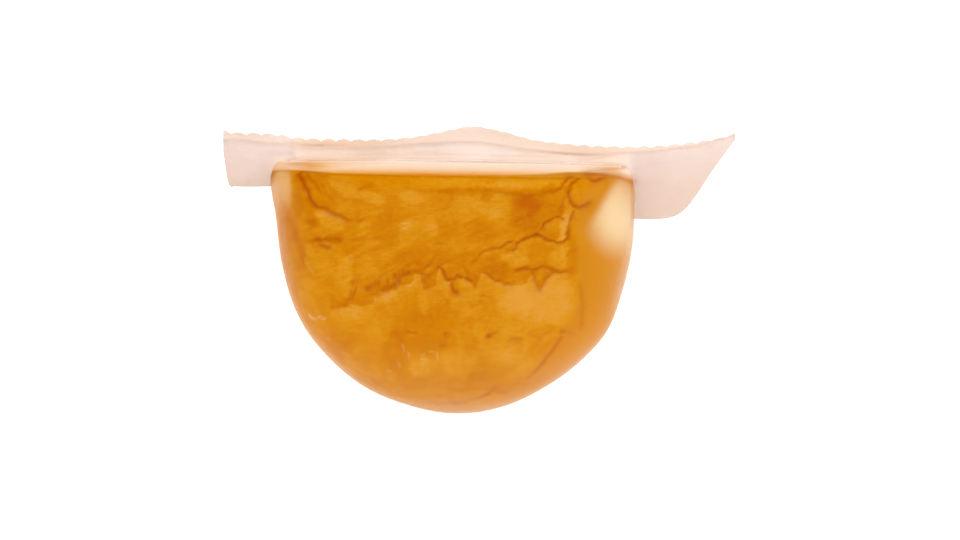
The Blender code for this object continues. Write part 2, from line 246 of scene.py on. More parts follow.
# A chart is the rind as seen from the front, or in mirror order from behind: across and up, in mm. A crack
# is (half width, darkness where it starts, darkness where it ends, points on the chart).
FRONT_CRACKS = [
    # The upper left corner, and what flows down from it.
    (0.6, 1, 0.7, [(-42.4, 62.8), (-41.3, 60.2), (-40, 57.2), (-39.5, 55.8), (-38.7, 54.9), (-37.7, 54.2),
        (-36.3, 54.2), (-35.2, 53.6), (-34.4, 52.9), (-33.3, 52.3), (-31.9, 52), (-30.6, 51.2),
        (-29.8, 50.8)]),
    (0.5, 0.9, 0.9, [(-41.2, 64), (-42.4, 62.8)]),
    (0.5, 0.9, 0.5, [(-40.6, 64), (-39.8, 62.2), (-38.2, 60.2), (-36.8, 58.2)]),
    (0.4, 0.4, 0.5, [(-29, 50.6), (-27.2, 50.9), (-25.5, 50.9)]),
    (0.55, 0.45, 0.15, [(-39, 63.5), (-35.5, 61.4), (-33.4, 58), (-30.2, 56.4), (-24.1, 55.3),
        (-20.9, 53.7)]),
    (0.45, 0.7, 0.2, [(-39.4, 64), (-36.9, 63), (-34.5, 62.2), (-31.6, 61)]),
    (0.45, 0.55, 0.2, [(-40.6, 63.6), (-36.8, 60.8), (-35, 57.6), (-32.4, 54.4)]),
    (0.5, 0.5, 0.1, [(-37.6, 63.4), (-31.6, 61), (-28.4, 60.4), (-25.2, 58.2)]),
    # The fold on the left side.
    (0.4, 0.45, 0.6, [(-46.3, 54.7), (-44.9, 50.7), (-43.8, 47.4), (-43.3, 44.4), (-42.2, 40.9),
        (-41.4, 38.5)]),
    (0.36, 0.3, 0.45, [(-45.2, 54), (-43.8, 50), (-42.6, 45.6), (-41.2, 40.8)]),
    # A dent like a lens on the left, and the line from it.
    (0.8, 0.35, 0.75, [(-41, 45.2), (-39.6, 45.2), (-38, 45.4)]),
    (0.75, 0.85, 0.75, [(-38, 45.4), (-36.3, 45.5), (-34, 45.5), (-31.7, 45.6)]),
    (0.7, 0.7, 0.75, [(-37.2, 44.2), (-35.8, 43.7), (-34.6, 43.4)]),
    (0.4, 0.3, 0.25, [(-31.7, 45.6), (-27.5, 45.7), (-24.4, 45.9), (-20, 45.7)]),
    # A dent like a drop below it.
    (0.42, 0.25, 0.75, [(-27.4, 36.2), (-28, 34.1), (-28.5, 32.2), (-29.3, 30)]),
    (0.42, 0.2, 0.75, [(-26.6, 36.5), (-27.2, 33.5), (-27.6, 32.2), (-28.5, 29.7)]),
    (0.7, 0.55, 0.25, [(-29.2, 29.7), (-30.7, 27.7), (-33.9, 27.3)]),
    (0.35, 0.25, 0.4, [(-33.7, 31.1), (-33.8, 27.6)]),
    # The ragged border's left half and its peak, and a flow under the rim.
    (0.8, 0.8, 0.45, [(-24.2, 32.4), (-23.3, 33), (-21.8, 33.6)]),
    (0.75, 0.65, 0.75, [(-20.2, 32.4), (-19, 33), (-17.6, 33.4), (-16.2, 34.4), (-15.5, 36),
        (-13.2, 36.8)]),
    (0.6, 0.35, 0.45, [(-23.6, 31.7), (-22, 30.6), (-19.6, 31.8)]),
    (0.9, 0.65, 0.35, [(-9.2, 34.8), (-8.6, 33.6), (-8.2, 32.6)]),
    (0.45, 0.55, 0.65, [(-12.4, 37.3), (-10.9, 37), (-9.6, 36.5), (-8.2, 36)]),
    (0.38, 0.85, 0.8, [(-5.4, 38.4), (-4.8, 38.2), (-4.2, 36.8), (-3.6, 35.2), (-2.8, 35), (-1.4, 35),
        (-0.5, 36), (0.6, 35.6), (2, 35.3), (3.3, 34.5)]),
    (0.45, 0.15, 0.5, [(-16, 59), (-8, 58.4), (0, 58.8), (8, 58.6), (14, 57.8), (17.5, 57.4)]),
    # The border's spikes and wisps.
    (0.42, 0.8, 0.3, [(-21.5, 34.3), (-20.9, 32.2)]),
    (0.42, 0.85, 0.3, [(-19, 34.9), (-18.2, 32.7)]),
    (0.4, 0.85, 0.3, [(-17, 36.1), (-16.2, 33.6)]),
    (0.36, 0.8, 0.3, [(-14.7, 37.2), (-14, 35.1)]),
    (0.34, 0.6, 0.1, [(-23.4, 33.4), (-20.4, 36.2), (-17, 38), (-14.2, 40.2)]),
    (0.34, 0.6, 0.1, [(-17.6, 35), (-14.4, 38.4), (-10.4, 40.4), (-7.6, 42.8)]),
    (0.32, 0.6, 0.15, [(-9.4, 37.4), (-7.2, 40), (-5, 42.6), (-4.6, 43.8)]),
    (0.3, 0.5, 0.1, [(-4.6, 38.8), (-1.6, 40.8), (1.8, 41.6)]),
    (0.3, 0.45, 0.1, [(2.6, 36.8), (0.6, 39), (-2.4, 39.8)]),
    (0.32, 0.4, 0.1, [(-29, 40.4), (-25.4, 41.8), (-21, 43.4)]),
    # The border's drips and its right end.
    (0.5, 0.55, 0.4, [(-5.6, 38.2), (-6.8, 36.8), (-7.8, 36.4)]),
    (0.75, 0.55, 0.8, [(-1.6, 34.8), (-1.9, 32.8), (-0.8, 31.6)]),
    (0.55, 0.45, 0.45, [(4.2, 36), (4.4, 34.2), (4.3, 33)]),
    (0.38, 0.8, 0.45, [(6.6, 36.9), (7.2, 36.6), (8.7, 35.3), (10.1, 34.6), (11.7, 34.1), (13.8, 33.5)]),
    # The shelf right of the middle.
    (0.45, 0.85, 0.6, [(14.9, 37.4), (16.8, 37.8), (18.2, 38), (19.6, 37.5), (22.4, 38.6), (25.4, 37.3),
        (27.3, 36.9), (28.5, 37.3)]),
    (0.6, 0.65, 0.55, [(19.4, 37.2), (20, 35.4), (20.8, 33.6), (21.4, 31.9)]),
    (0.6, 0.45, 0.5, [(24.4, 36.9), (23.2, 35.2), (22.2, 33.4), (21.4, 31.9)]),
    # The arch on the right, and the island over it.
    (0.32, 0.45, 0.8, [(3.5, 39.4), (4.9, 40.9), (6, 42), (7.3, 42.8), (8.7, 43.2), (10.1, 43.4),
        (11.7, 43.8), (13, 44.8), (13.9, 45.1)]),
    (0.36, 0.6, 1, [(13.3, 42.6), (14.4, 42.8), (15.2, 43.4), (15.3, 44.7), (16.3, 45.3), (17.9, 45.9),
        (19.5, 46.6), (20.9, 46.9), (21.8, 46.6)]),
    (0.34, 0.95, 0.8, [(21.8, 46.6), (22.7, 45.8), (24, 45.4), (25.4, 45), (26.5, 44.7), (27.8, 44.9),
        (28.7, 45.8), (29.2, 48.5), (29.4, 50.7), (30.2, 52.6), (30.9, 53.7)]),
    (0.34, 0.9, 0.9, [(22, 48.5), (22.3, 49.6), (23.2, 50.4), (24.3, 50.8), (25.1, 51.5), (26.7, 51.6),
        (27.8, 51.1)]),
    (0.34, 0.7, 0.45, [(26.7, 51.6), (27, 53.4), (27.3, 55), (28.1, 56.6), (28.9, 58)]),
    # The flow, loop and hook at the upper right corner.
    (0.46, 0.95, 0.25, [(29.8, 62.6), (28.2, 61.4), (27.4, 59.8), (26.6, 59), (24.4, 58.4), (22.5, 58),
        (19.8, 57.5), (17.5, 57.4)]),
    (0.42, 0.95, 0.8, [(31.5, 61.7), (30.1, 60.9), (29.5, 59.5), (29, 57.3), (29.3, 56), (30.4, 54.6),
        (32, 54.2), (33.9, 54.9), (34.8, 55.5)]),
    (0.44, 1, 1, [(33.9, 63), (34.3, 61.9), (35.2, 61.3), (36.6, 61.4), (37.9, 62.1), (39.3, 62.8)]),
    (0.4, 0.8, 0.9, [(33.2, 63.1), (36, 63.2), (39, 63.1)]),
    (0.36, 0.8, 0.4, [(38.9, 63), (39, 62), (38.7, 60.9)]),
    # The rim and the outer edges.
    (0.45, 0.55, 0.8, [(38, 63.3), (40.6, 62.7), (43.3, 62.3), (45, 61.8), (46.6, 61)]),
    (0.6, 0.45, 0.6, [(46.2, 60), (46, 57), (46, 53), (45.6, 49)]),
    (1.1, 0.55, 0.3, [(-49.6, 62.6), (-49.6, 60.6), (-49.4, 58.8)]),
    # The lower right.
    (0.42, 0.45, 0.4, [(32, 33.5), (32.5, 30.5), (32.9, 28.6), (32.5, 26), (32.2, 22.5)]),
    (0.45, 0.3, 0.65, [(30, 20.9), (28.5, 21.4), (27.1, 21.1)]),
    (0.38, 0.55, 0.62, [(27.1, 19.9), (26, 18), (24.6, 16), (23.4, 14.5), (22, 12.5)]),
    (0.38, 0.62, 0.2, [(22, 12.5), (20.4, 10.8), (18.5, 9.2), (17.7, 7.3)]),
    # The bottom.
    (0.42, 0.15, 0.45, [(-10.5, 2.7), (-4.5, 2.2), (0.9, 2.5), (5.2, 3.5), (7.7, 4.6)]),
    (0.4, 0.6, 0.35, [(7.7, 4.6), (8.8, 5.4), (9.6, 5.8), (10.7, 5.2), (12.8, 5)]),
    # Short dashes and a spot.
    (0.3, 0.55, 0.6, [(-13.8, 21.4), (-12.8, 21), (-11.6, 21.1)]),
    (0.45, 0.6, 0.4, [(-3.6, 20.8), (-2.4, 20.8)]),
    (0.45, 0.5, 0.3, [(-4.8, 17.6), (-3.4, 17.6)]),
    (0.38, 0.8, 0.3, [(7.6, 20), (8.8, 20.4), (10.3, 21.4)]),
    (0.55, 0.6, 0.5, [(14.1, 19.2), (16.3, 19.2)]),
    (0.5, 0.3, 0.3, [(19, 20.8), (21.2, 19.2), (23.3, 20.8)]),
    (0.45, 0.3, 0.3, [(4.6, 18.6), (4.8, 18.2)]),
    (0.34, 0.35, 0.3, [(6, 30.8), (8.4, 30.3)]),
    (0.34, 0.3, 0.35, [(3.3, 27.8), (5.7, 28.9)]),
    (0.34, 0.4, 0.3, [(-3.2, 29.6), (-3.2, 28.3)]),
    (0.5, 0.45, 0.2, [(-26.5, 58.8), (-24.5, 59.6), (-22.5, 60.4)]),
    (0.4, 0.45, 0.4, [(-5.8, 44.6), (-4.2, 44.8)]),
    (0.95, 0.5, 0.4, [(-39.2, 50.1), (-39, 49.4)]),
]

# Patches of the rind, lighter above 0 and darker below: (across, up, reach across, reach up, turn in degrees,
# tone, softness of the border as a share of the reach).
FRONT_PATCHES = [(-42.7, 54.8, 1.6, 4.8, 6, -0.55, 0.5), (-41.8, 61.8, 2.4, 2.2, 0, -0.6, 0.5),
    (-40.6, 57.6, 1.4, 4.6, 12, -0.5, 0.6), (-41.6, 58.5, 1.1, 2.7, 10, 0.45, 0.5),
    (-35.5, 57.2, 4, 3.7, -25, -0.35, 0.5), (-34.2, 50.6, 4.5, 2.7, -12, 0.45, 0.35),
    (-39, 50.6, 1.6, 1.3, 0, -0.75, 0.6), (-30.8, 59.3, 4.8, 2.9, -15, 0.4, 0.4),
    (-23.1, 56.9, 3.4, 1.6, 0, 0.45, 0.35), (-23.6, 59.6, 2.9, 1.1, 12, -0.3, 0.5),
    (-17.8, 55.9, 2.6, 2.2, 20, -0.32, 0.55), (-12.2, 56.9, 3.4, 1.6, 0, 0.35, 0.35),
    (-19.1, 48.7, 3.6, 4, 10, -0.32, 0.6), (-24.7, 49.2, 1.9, 1.9, 0, 0.3, 0.5),
    (-13.5, 49.2, 1.9, 1.6, 0, 0.3, 0.6), (-30.2, 44.2, 3.2, 1.6, 0, -0.25, 0.5),
    (2.9, 60.7, 11.9, 1.3, 0, 0.35, 0.5), (18.8, 60.7, 8, 1.6, -2, 0.5, 0.5),
    (-3.2, 58.5, 2.4, 0.9, 0, -0.5, 0.4), (2.4, 58.3, 2.1, 0.8, 0, -0.35, 0.4),
    (6.9, 57.5, 1.6, 1.9, 0, -0.5, 0.35), (-2.1, 56.7, 0.8, 1.3, 0, -0.35, 0.5),
    (2.1, 55.1, 4.6, 2.4, 10, 0.3, 0.5), (9.9, 54, 4.2, 4.5, 0, 0.35, 0.5),
    (20.4, 52.4, 7.4, 5.8, -8, -0.45, 0.4), (18.6, 55.4, 3.6, 1.7, 4, -0.5, 0.7),
    (24.7, 58.8, 3.2, 1.3, 25, -0.35, 0.5), (28.3, 48.6, 0.8, 2.8, -6, 0.6, 0.5),
    (26.8, 45.9, 1.3, 0.8, 0, 0.5, 0.5), (28.7, 52.8, 1.3, 1.6, -10, 0.55, 0.5),
    (27.7, 42.4, 1, 1.5, 0, 0.45, 0.5), (6.4, 48, 4.4, 3.6, 10, -0.35, 0.6),
    (-2.9, 47.3, 3.6, 3, -10, -0.3, 0.6), (-7.4, 48.7, 1.9, 2.9, 0, 0.35, 0.5),
    (0.3, 52.2, 5.8, 1.6, 0, 0.15, 0.5), (23.9, 49.2, 2.4, 1.9, 10, 0.45, 0.2),
    (27.8, 48.7, 1.1, 4, -8, 0.5, 0.3), (31.3, 56.1, 3.2, 3.7, 20, 0.05, 0.4),
    (26.8, 60.9, 1.6, 1.3, 40, 0.3, 0.5), (29.2, 59.3, 1.1, 2.1, 0, -0.45, 0.4),
    (-30.2, 36.5, 1.9, 5.3, 8, 0.4, 0.4), (-24.7, 39.4, 2.4, 1.6, 0, 0.25, 0.5),
    (-15.4, 43.9, 1.9, 1.3, 0, 0.25, 0.5), (-10.3, 40.8, 6.9, 2.1, 8, -0.35, 0.5),
    (2.9, 39.7, 5.3, 2.1, 0, -0.3, 0.5), (-1.1, 43.4, 3.7, 1.3, 8, 0.1, 0.5),
    (10.1, 38.1, 3.2, 2.7, 0, -0.45, 0.4), (15.4, 40.2, 3.7, 1.9, -10, 0.45, 0.3),
    (21.5, 42.9, 3.7, 2.1, 0, -0.2, 0.3), (26.8, 39.7, 2.4, 2.1, 0, 0.6, 0.35),
    (30.2, 41.6, 1.3, 5.3, 0, -0.35, 0.4), (22.3, 35.2, 2.7, 2.1, 0, -0.25, 0.3),
    (14.9, 29.6, 4.5, 4.5, 0, 0.55, 0.4), (23.6, 28, 8, 8, 0, 0.55, 0.4),
    (-7.7, 30.7, 2.1, 5.3, 0, -0.15, 0.5), (-3.2, 26.4, 2.7, 5.3, 0, -0.25, 0.5),
    (-16.2, 28, 3.7, 2.7, 20, -0.2, 0.5), (-10.3, 21.7, 6.4, 5.8, 0, -0.35, 0.5),
    (-28.4, 25.4, 4.2, 1.9, -10, 0.35, 0.4), (-19.9, 30.4, 2.7, 1.3, 0, 0.45, 0.4),
    (-9, 28.3, 1.3, 2.7, 0, 0.4, 0.4), (-32.1, 17.7, 4, 3.7, 30, -0.3, 0.4),
    (-22.3, 19, 1.9, 5.8, 8, 0.2, 0.4), (-16.7, 16.4, 2.7, 4.8, 0, -0.4, 0.4),
    (-11.4, 13.2, 4.2, 2.4, -15, 0.35, 0.6), (-3.4, 13.2, 6.4, 3.7, 0, 0.3, 0.5),
    (10.9, 19, 6.9, 5.8, 0, 0.35, 0.4), (2.9, 8.9, 6.4, 1.6, 0, -0.15, 0.5),
    (16.2, 13.2, 5.3, 3.2, -10, 0.3, 0.5), (22.8, 21.7, 3.2, 1.3, 0, -0.3, 0.4),
    (-39.5, 32.3, 3.7, 4.8, -10, 0.1, 0.5), (-37.4, 39.7, 3.2, 3.7, 0, 0.15, 0.5),
    (-42.2, 42.9, 1.1, 5.3, -4, -0.35, 0.4), (-47, 46, 3.2, 10, 5, -0.55, 0.6)]

# Ragged border where the film parts from the rind: darker above it, with pale peaks that rise from below.
FLAME_LINE = [(-34.2, 27), (-30.8, 27.8), (-28.1, 28.4), (-25.7, 27.9), (-22.8, 28.6), (-22.4, 30.7),
    (-21.5, 31.5), (-19.9, 31.7), (-18.6, 32.1), (-16.4, 32.3), (-16, 33.3), (-14.3, 33.7), (-12.6, 33.9),
    (-12.1, 35.5), (-11.3, 36.5), (-10.2, 36.7), (-9.8, 35.5), (-9.5, 33.3), (-9, 32), (-8, 32.7),
    (-6.2, 33.5), (-6, 35.7), (-5.7, 37), (-5.2, 37.7), (-4.4, 37.7), (-3.8, 36), (-3.3, 34.8),
    (-2.4, 34.4), (-2, 32.3), (-1.3, 31.3), (-0.1, 31.6), (0.1, 33.9), (0.4, 35.5), (1.3, 35.5),
    (2.4, 35.1), (3.2, 34.3), (3.7, 32.9), (4.5, 32.9), (5, 34.7), (5.7, 36.1), (6.6, 36.9), (7.6, 36.4),
    (8.5, 35.5), (9.8, 34.7), (11.9, 34), (14.1, 33.5), (16.2, 33.2), (17.8, 34.1), (19.1, 36),
    (19.9, 35.6), (21.5, 31.9), (23.2, 35.2), (24.1, 35.9), (25.6, 36.6), (27.3, 36.8), (29.7, 36.9)]
FLAME_START = (-34.5, -33)
FLAME_END = (30, 28)
FLAME_TONE = 0.5
FLAME_FADE_ABOVE = 2.2
FLAME_FADE_BELOW = 3.2

# Lower border of the film where it comes down from the flange over the cheese's corners.
VEIL_LINE = [(-52, 64), (-47, 64.1), (-42.2, 64.1), (-36, 63.6), (-28.9, 62.9), (0, 62.3), (21.5, 62.9),
    (28, 63.5), (34.7, 63.6), (37.4, 63.3), (41.4, 62.5), (44.8, 61.4), (48, 60.9)]

# Upright border of a darker field to the right of it: (across, low end, high end, reach).
DARK_BORDER = (13.9, 48.5, 58.0, 7.0)
DARK_FIELD = 0.35

# Where the film stands off the cheese and it looks pale: (across, up, reach across, reach up), and two points
# of the slanted border on its upper left.
PALE_SPOT = (41.8, 50.6, 8.6, 10.0)
PALE_SPOT_RISE = 1.6
PALE_SPOT_MOST = 0.95
PALE_BORDER = ((39.9, 60.2), (33.6, 50.6))
PALE_STRIP = (-44.6, 56.5)
PALE_STRIP_MOST = 0.36

# Small painted glints where the film is puckered: the lines of each strength.
PAINTED_GLINTS = {
    0.4: [[(-39.9, 25.8), (-39.1, 25), (-38, 24.5)], [(-37.4, 25), (-36.7, 25.3)],
        [(-36.4, 24.7), (-35.5, 24.7)]],
    0.16: [[(-35.3, 19.6), (-34.2, 19.2)], [(-36.7, 21.2), (-36.3, 21)], [(-30.7, 15.8), (-29.6, 15.3)],
        [(-13.4, 15.6), (-13.1, 14.5)], [(-10.1, 15), (-9, 15.6)], [(-8, 16.1), (-6.9, 16)],
        [(-10.1, 14.2), (-9.3, 14.1)], [(-12, 10.4), (-11.7, 9.6)], [(-14.9, 17.7), (-14.6, 15.8)],
        [(-15.1, 49.8), (-13.3, 49.6)], [(-15.6, 48.2), (-14.1, 48.5)], [(-18.8, 11.1), (-18, 10.8)],
        [(-16.2, 13.2), (-15.6, 12.1)], [(-5.8, 15.8), (-5.6, 14.2)]],
    0.1: [[(-39.8, 38.1), (-38.7, 37)]],
    0.08: [[(-28.6, 41.3), (-28.4, 39.7)], [(-16.4, 34.1), (-16.2, 33.1)], [(23.3, 37.3), (24.4, 36.5)]],
}
GLINT_HALF_WIDTH = 0.22
GLINT_REACH = 5

# Darkness of a crack's core and of the halo round it, with widths as shares of its half width.
CORE_DARKNESS = 0.7
HALO_DARKNESS = 0.22
HALO_WIDTH = 2.6
GROOVE_WIDTH = 1.3
CRACK_REACH = 4


def chart_of(points, behind=False):
    """Across and up on the front chart, or on the back one, as a camera at the view's height sees them."""
    sign = -1.0 if behind else 1.0
    aim_x = AIM.x * sign
    right = sign * points[:, 0] - aim_x
    near = sign * points[:, 1]
    high = points[:, 2] - AIM.z
    up = high * math.cos(VIEW_ELEVATION) + near * math.sin(VIEW_ELEVATION)
    depth = VIEW_DISTANCE + near * math.cos(VIEW_ELEVATION) - high * math.sin(VIEW_ELEVATION)
    across = aim_x + right * VIEW_DISTANCE / depth
    return np.stack([across, AIM.z * math.cos(VIEW_ELEVATION) + up * VIEW_DISTANCE / depth], axis=-1)


def line_distance(places, line):
    """Distance of each chart place to a line, and the share of the line's length at its nearest point."""
    line = np.array(line)
    lengths = running_lengths(line)
    nearest = np.full(len(places), np.inf)
    along = np.zeros(len(places))
    for index, (start, end) in enumerate(zip(line, line[1:])):
        run = end - start
        share = np.clip((places - start) @ run / (run @ run), 0, 1)
        away = np.linalg.norm(places - start - share[:, None] * run, axis=1)
        closer = away < nearest
        nearest = np.where(closer, away, nearest)
        here = lengths[index] + share * (lengths[index + 1] - lengths[index])
        along = np.where(closer, here / lengths[-1], along)
    return nearest, along


def random_cracks(count, seed):
    """Cracks like the front's for the side that the photograph doesn't show."""
    draw = random.Random(seed)
    cracks = []
    for _ in range(count):
        place = Vector((draw.uniform(-38, 38), draw.uniform(14, 60)))
        level = draw.choice((0, math.pi)) + draw.uniform(-0.5, 0.5)
        line = [tuple(place)]
        for _ in range(draw.randint(4, 12)):
            heading = level + draw.uniform(-0.9, 0.9)
            place = place + draw.uniform(1.2, 2.8) * Vector((math.cos(heading), 0.8 * math.sin(heading)))
            line.append(tuple(place))
        half_width, start, end = draw.uniform(0.28, 0.5), draw.uniform(0.3, 0.85), draw.uniform(0.1, 0.7)
        cracks.append((half_width, start, end, line))
    return cracks


def random_patches(count, seed):
    draw = random.Random(seed)
    return [(draw.uniform(-42, 42), draw.uniform(5, 62), draw.uniform(3, 11), draw.uniform(2, 7),
             draw.uniform(-25, 25), draw.choice((-1, 1)) * draw.uniform(0.25, 0.6), draw.uniform(0.15, 0.5))
            for _ in range(count)]


def crack_marks(places, cracks, unevenness=0.0):
    """Darkness and groove depth of the cracks at chart places. unevenness widens and narrows them."""
    darkness = np.zeros(len(places))
    groove = np.zeros(len(places))
    uneven = 1 + np.broadcast_to(unevenness, len(places))
    for half_width, start, end, line in cracks:
        low = np.min(line, axis=0) - CRACK_REACH
        high = np.max(line, axis=0) + CRACK_REACH
        inside = np.all((places > low) & (places < high), axis=1)
        if not inside.any():
            continue
        away, along = line_distance(places[inside], line)
        strength = start + (end - start) * along
        away = away / uneven[inside]
        halo = HALO_DARKNESS * bump(away, HALO_WIDTH * half_width)
        mark = strength * (CORE_DARKNESS * bump(away, half_width) + halo)
        darkness[inside] = np.maximum(darkness[inside], mark)
        groove[inside] = np.maximum(groove[inside], strength * bump(away, GROOVE_WIDTH * half_width))
    return darkness, groove


def patch_tone(places, patches):
    tone = np.zeros(len(places))
    for across, up, reach_across, reach_up, turn, strength, softness in patches:
        turned = math.radians(turn)
        offset = places - (across, up)
        right = offset[:, 0] * math.cos(turned) + offset[:, 1] * math.sin(turned)
        rise = offset[:, 1] * math.cos(turned) - offset[:, 0] * math.sin(turned)
        away = np.hypot(right / reach_across, rise / reach_up)
        tone += strength * smoothstep(1 + softness, 1 - softness, away)
    return tone


def flame_tone(places):
    """Darker above the ragged border and paler in the tongues below it."""
    across, up = places.T
    rise = up - np.interp(across, *np.transpose(FLAME_LINE))
    inside = smoothstep(*FLAME_START, across) * smoothstep(*FLAME_END, across)
    above = smoothstep(-0.2, 0.3, rise) * np.exp(-np.maximum(rise, 0) / FLAME_FADE_ABOVE)
    below = smoothstep(0.2, -0.3, rise) * np.exp(np.minimum(rise, 0) / FLAME_FADE_BELOW)
    return inside * FLAME_TONE * (below - above)


def dark_field(places):
    """Darker to the right of an upright border, fading away from it."""
    border, low, high, reach = DARK_BORDER
    across, up = places.T
    past = across - border
    within = smoothstep(low - 1.5, low + 1.5, up) * smoothstep(high + 1.5, high - 1.5, up)
    return -DARK_FIELD * within * smoothstep(-0.15, 0.25, past) * np.exp(-np.maximum(past, 0) / reach)


def above_veil(places):
    across, up = places.T
    return up - np.interp(across, *np.transpose(VEIL_LINE))


def veil(places):
    """1 above the line where the film comes down from its flange over the cheese's corners."""
    return smoothstep(-0.1, 0.35, above_veil(places))


def pale_places(places):
    """How pale the cheese is: a spot and a strip beside the corners, and the painted glints."""
    across, up = places.T
    spot_across, spot_up, reach_across, reach_up = PALE_SPOT
    reach_up = np.where(up > spot_up, PALE_SPOT_RISE * reach_up, reach_up)
    away = np.hypot((across - spot_across + 0.1 * (up - spot_up)) / reach_across, (up - spot_up) / reach_up)
    start, end = np.array(PALE_BORDER)
    run = (end - start) / np.linalg.norm(end - start)
    past = (across - start[0]) * -run[1] + (up - start[1]) * run[0]
    spot = smoothstep(1.25, 0.1, away) * smoothstep(-0.5, 2.8, past)
    edge, low = PALE_STRIP
    strip = smoothstep(edge + 0.5, edge - 1.2, across) * smoothstep(low - 6, low + 3, up)
    painted_glint = np.zeros(len(places))
    for strength, lines in PAINTED_GLINTS.items():
        for line in lines:
            near = np.abs(across - line[0][0]) + np.abs(up - line[0][1]) < GLINT_REACH
            away, _ = line_distance(places[near], line)
            painted_glint[near] = np.maximum(painted_glint[near], strength * bump(away, GLINT_HALF_WIDTH))
    return np.maximum(np.maximum(PALE_SPOT_MOST * spot, PALE_STRIP_MOST * strip), painted_glint)


# ---- relief and marks of the whole surface

FILM_GAP = 0.13
LUMP_HEIGHT = 0.35
LUMP_SPACING = 17.0
# Broad dents and swellings of the front and sides: (across, up, reach, depth), swellings negative.
DENTS = [(-44, 40, 10, 0.5), (-20, 44, 13, 0.5), (8, 52, 14, 0.4), (38, 22, 8, -0.9), (44, 33, 6, 0.3),
    (-6, 20, 16, -0.5), (36, 50, 7, -0.4)]
CRACK_DEPTH = 0.55
FINE_DEPTH = 0.06
BACK_CRACKS = 30
BACK_PATCHES = 30
RIM_LINE_RING = 4.2
RIM_LINE = 0.5

# How far the chart is warped under each kind of mark, so that none is drawn with a straight border. The
# noise of the warp has a fine size and, for patches, a broad one too.
WARP_SEED = 3
FINE_WARP_SIZE = 1.3
BROAD_WARP_SIZE = 5.0
LINE_WARP = 0.3
PATCH_WARP = 0.5
PATCH_BROAD_WARP = 1.4
FLAME_WARP = 0.3
BORDER_WARP = 0.2
PALE_WARP = 0.15

# What makes the rind's tone, besides patches and borders: a painted highlight below the cracks, islands,
# broad clouds, leaning streaks halfway up, upright streaks below them, an even share and painted light on the
# bottom.
CRACK_PAINTED_HIGHLIGHT = 0.35
CRACK_HIGHLIGHT_DROP = (0.0, 0.9)
ISLAND_TONE = 0.16
CLOUD_TONE = 0.08
STREAK_TONE = 0.3
STREAK_LEAN = 0.4
LOW_STREAK_TONE = 0.2
EVEN_TONE = 0.12
BOTTOM_PAINTED_LIGHT = 0.5

# Light on the cut face along the free film's foot.
CORNER_LIGHT = 0.3
CORNER_LIGHT_WIDTH = 3.0

# Relief and cover of the tight film. Cover is what it hides: where it stands off, low down, on the sides, at
# the foot and over the cut face, and what it gains where it is seen edge on, less on the left of the front.
# Low down and at the foot the cover is partly haze and partly a painted reflection of the floor's light.
SPANNED_GROOVE = 0.03
SIDE_WRINKLE = 0.12
ZONE_COVER = 0.016
LOW_COVER_PAINTED_LIGHT = 0.025
SIDE_COVER = 0.028
FOOT_COVER_PAINTED_LIGHT = 0.1
COVER_CLOUDS = 0.35
CUT_FACE_COVER = 0.03
EDGE_COVER = 0.22
LEFT_EDGE_LOSS = 0.11

# The cheese in its film has no cracks where the film stands off it, to the right of this line.
SMOOTH_LINE = [(-2, -4), (8, 17), (21, 28), (32, 32.5), (38, 31.5), (53, 31), (64, 36)]


class Surface:
    """The smooth form sampled on rings and columns, with what the marks need at each of its points."""

    def __init__(self, columns, front_crowding, side_rings, rim_rings, face_rings):
        angles = column_angles(columns, front_crowding)
        rings, self.turning = form_rings(angles, side_rings, rim_rings, face_rings)
        self.shape = rings.shape[:2]
        self.points = rings.reshape(-1, 3)
        self.normals = ring_normals(rings).reshape(-1, 3)
        self.ring = np.repeat(np.arange(self.shape[0]), columns)
        rim_end = self.turning + rim_rings
        self.on_side = smoothstep(rim_end + 0.5, rim_end - 1.5, self.ring)
        self.front = smoothstep(0.02, 0.3, -self.normals[:, 1])
        self.back = smoothstep(0.02, 0.3, self.normals[:, 1])
        x, y, height = self.points.T
        self.front_half = smoothstep(2, -2, y)
        self.warp = self.noise_pair(FINE_WARP_SIZE, WARP_SEED)
        broad = self.noise_pair(BROAD_WARP_SIZE, WARP_SEED + 4)
        self.patch_warp = PATCH_WARP * self.warp + PATCH_BROAD_WARP * broad
        self.front_places = chart_of(self.points)
        self.back_places = chart_of(self.points, behind=True)
        self.front_warped = self.front_places + LINE_WARP * self.warp
        self.back_warped = self.back_places + LINE_WARP * self.warp
        self.below_rim = smoothstep(RIM_RADIUS, RIM_RADIUS + 2.5, cut_face_height(x, y) - height)
        self.left_front = smoothstep(-20, -40, x) * smoothstep(12, 30, self.front_places[:, 1])
        self.fade = smoothstep(0, 6, height) * smoothstep(CHEESE_HEIGHT, CHEESE_HEIGHT - 5, height)

    def noise(self, size, seed, octaves=3):
        return noise_at(self.points, size, seed, octaves)

    def noise_pair(self, size, seed):
        return np.stack([self.noise(size, seed + axis) for axis in range(2)], axis=-1)

    def broad_relief(self):
        """Depth inside the smooth form of lumps and dents."""
        depth = -LUMP_HEIGHT * self.noise(LUMP_SPACING, 0, octaves=1)
        for across, up, reach, dent in DENTS:
            away = np.hypot(self.points[:, 0] - across, self.front_places[:, 1] - up)
            depth += dent * bump(away, reach) * (0.4 + 0.6 * self.front)
        return depth * self.fade

    def smooth_zone(self):
        """1 where the film stands off the rind on the right of the front."""
        across, up = self.front_warped.T
        border = np.interp(up, *np.transpose(SMOOTH_LINE))
        return smoothstep(-0.8, 1.2, across - border) * self.front

    def moved(self, depth):
        return self.points - self.normals * depth[:, None]


def placed(name, data):
    """A new object in the scene."""
    thing = bpy.data.objects.new(name, data)
    bpy.context.scene.collection.objects.link(thing)
    return thing


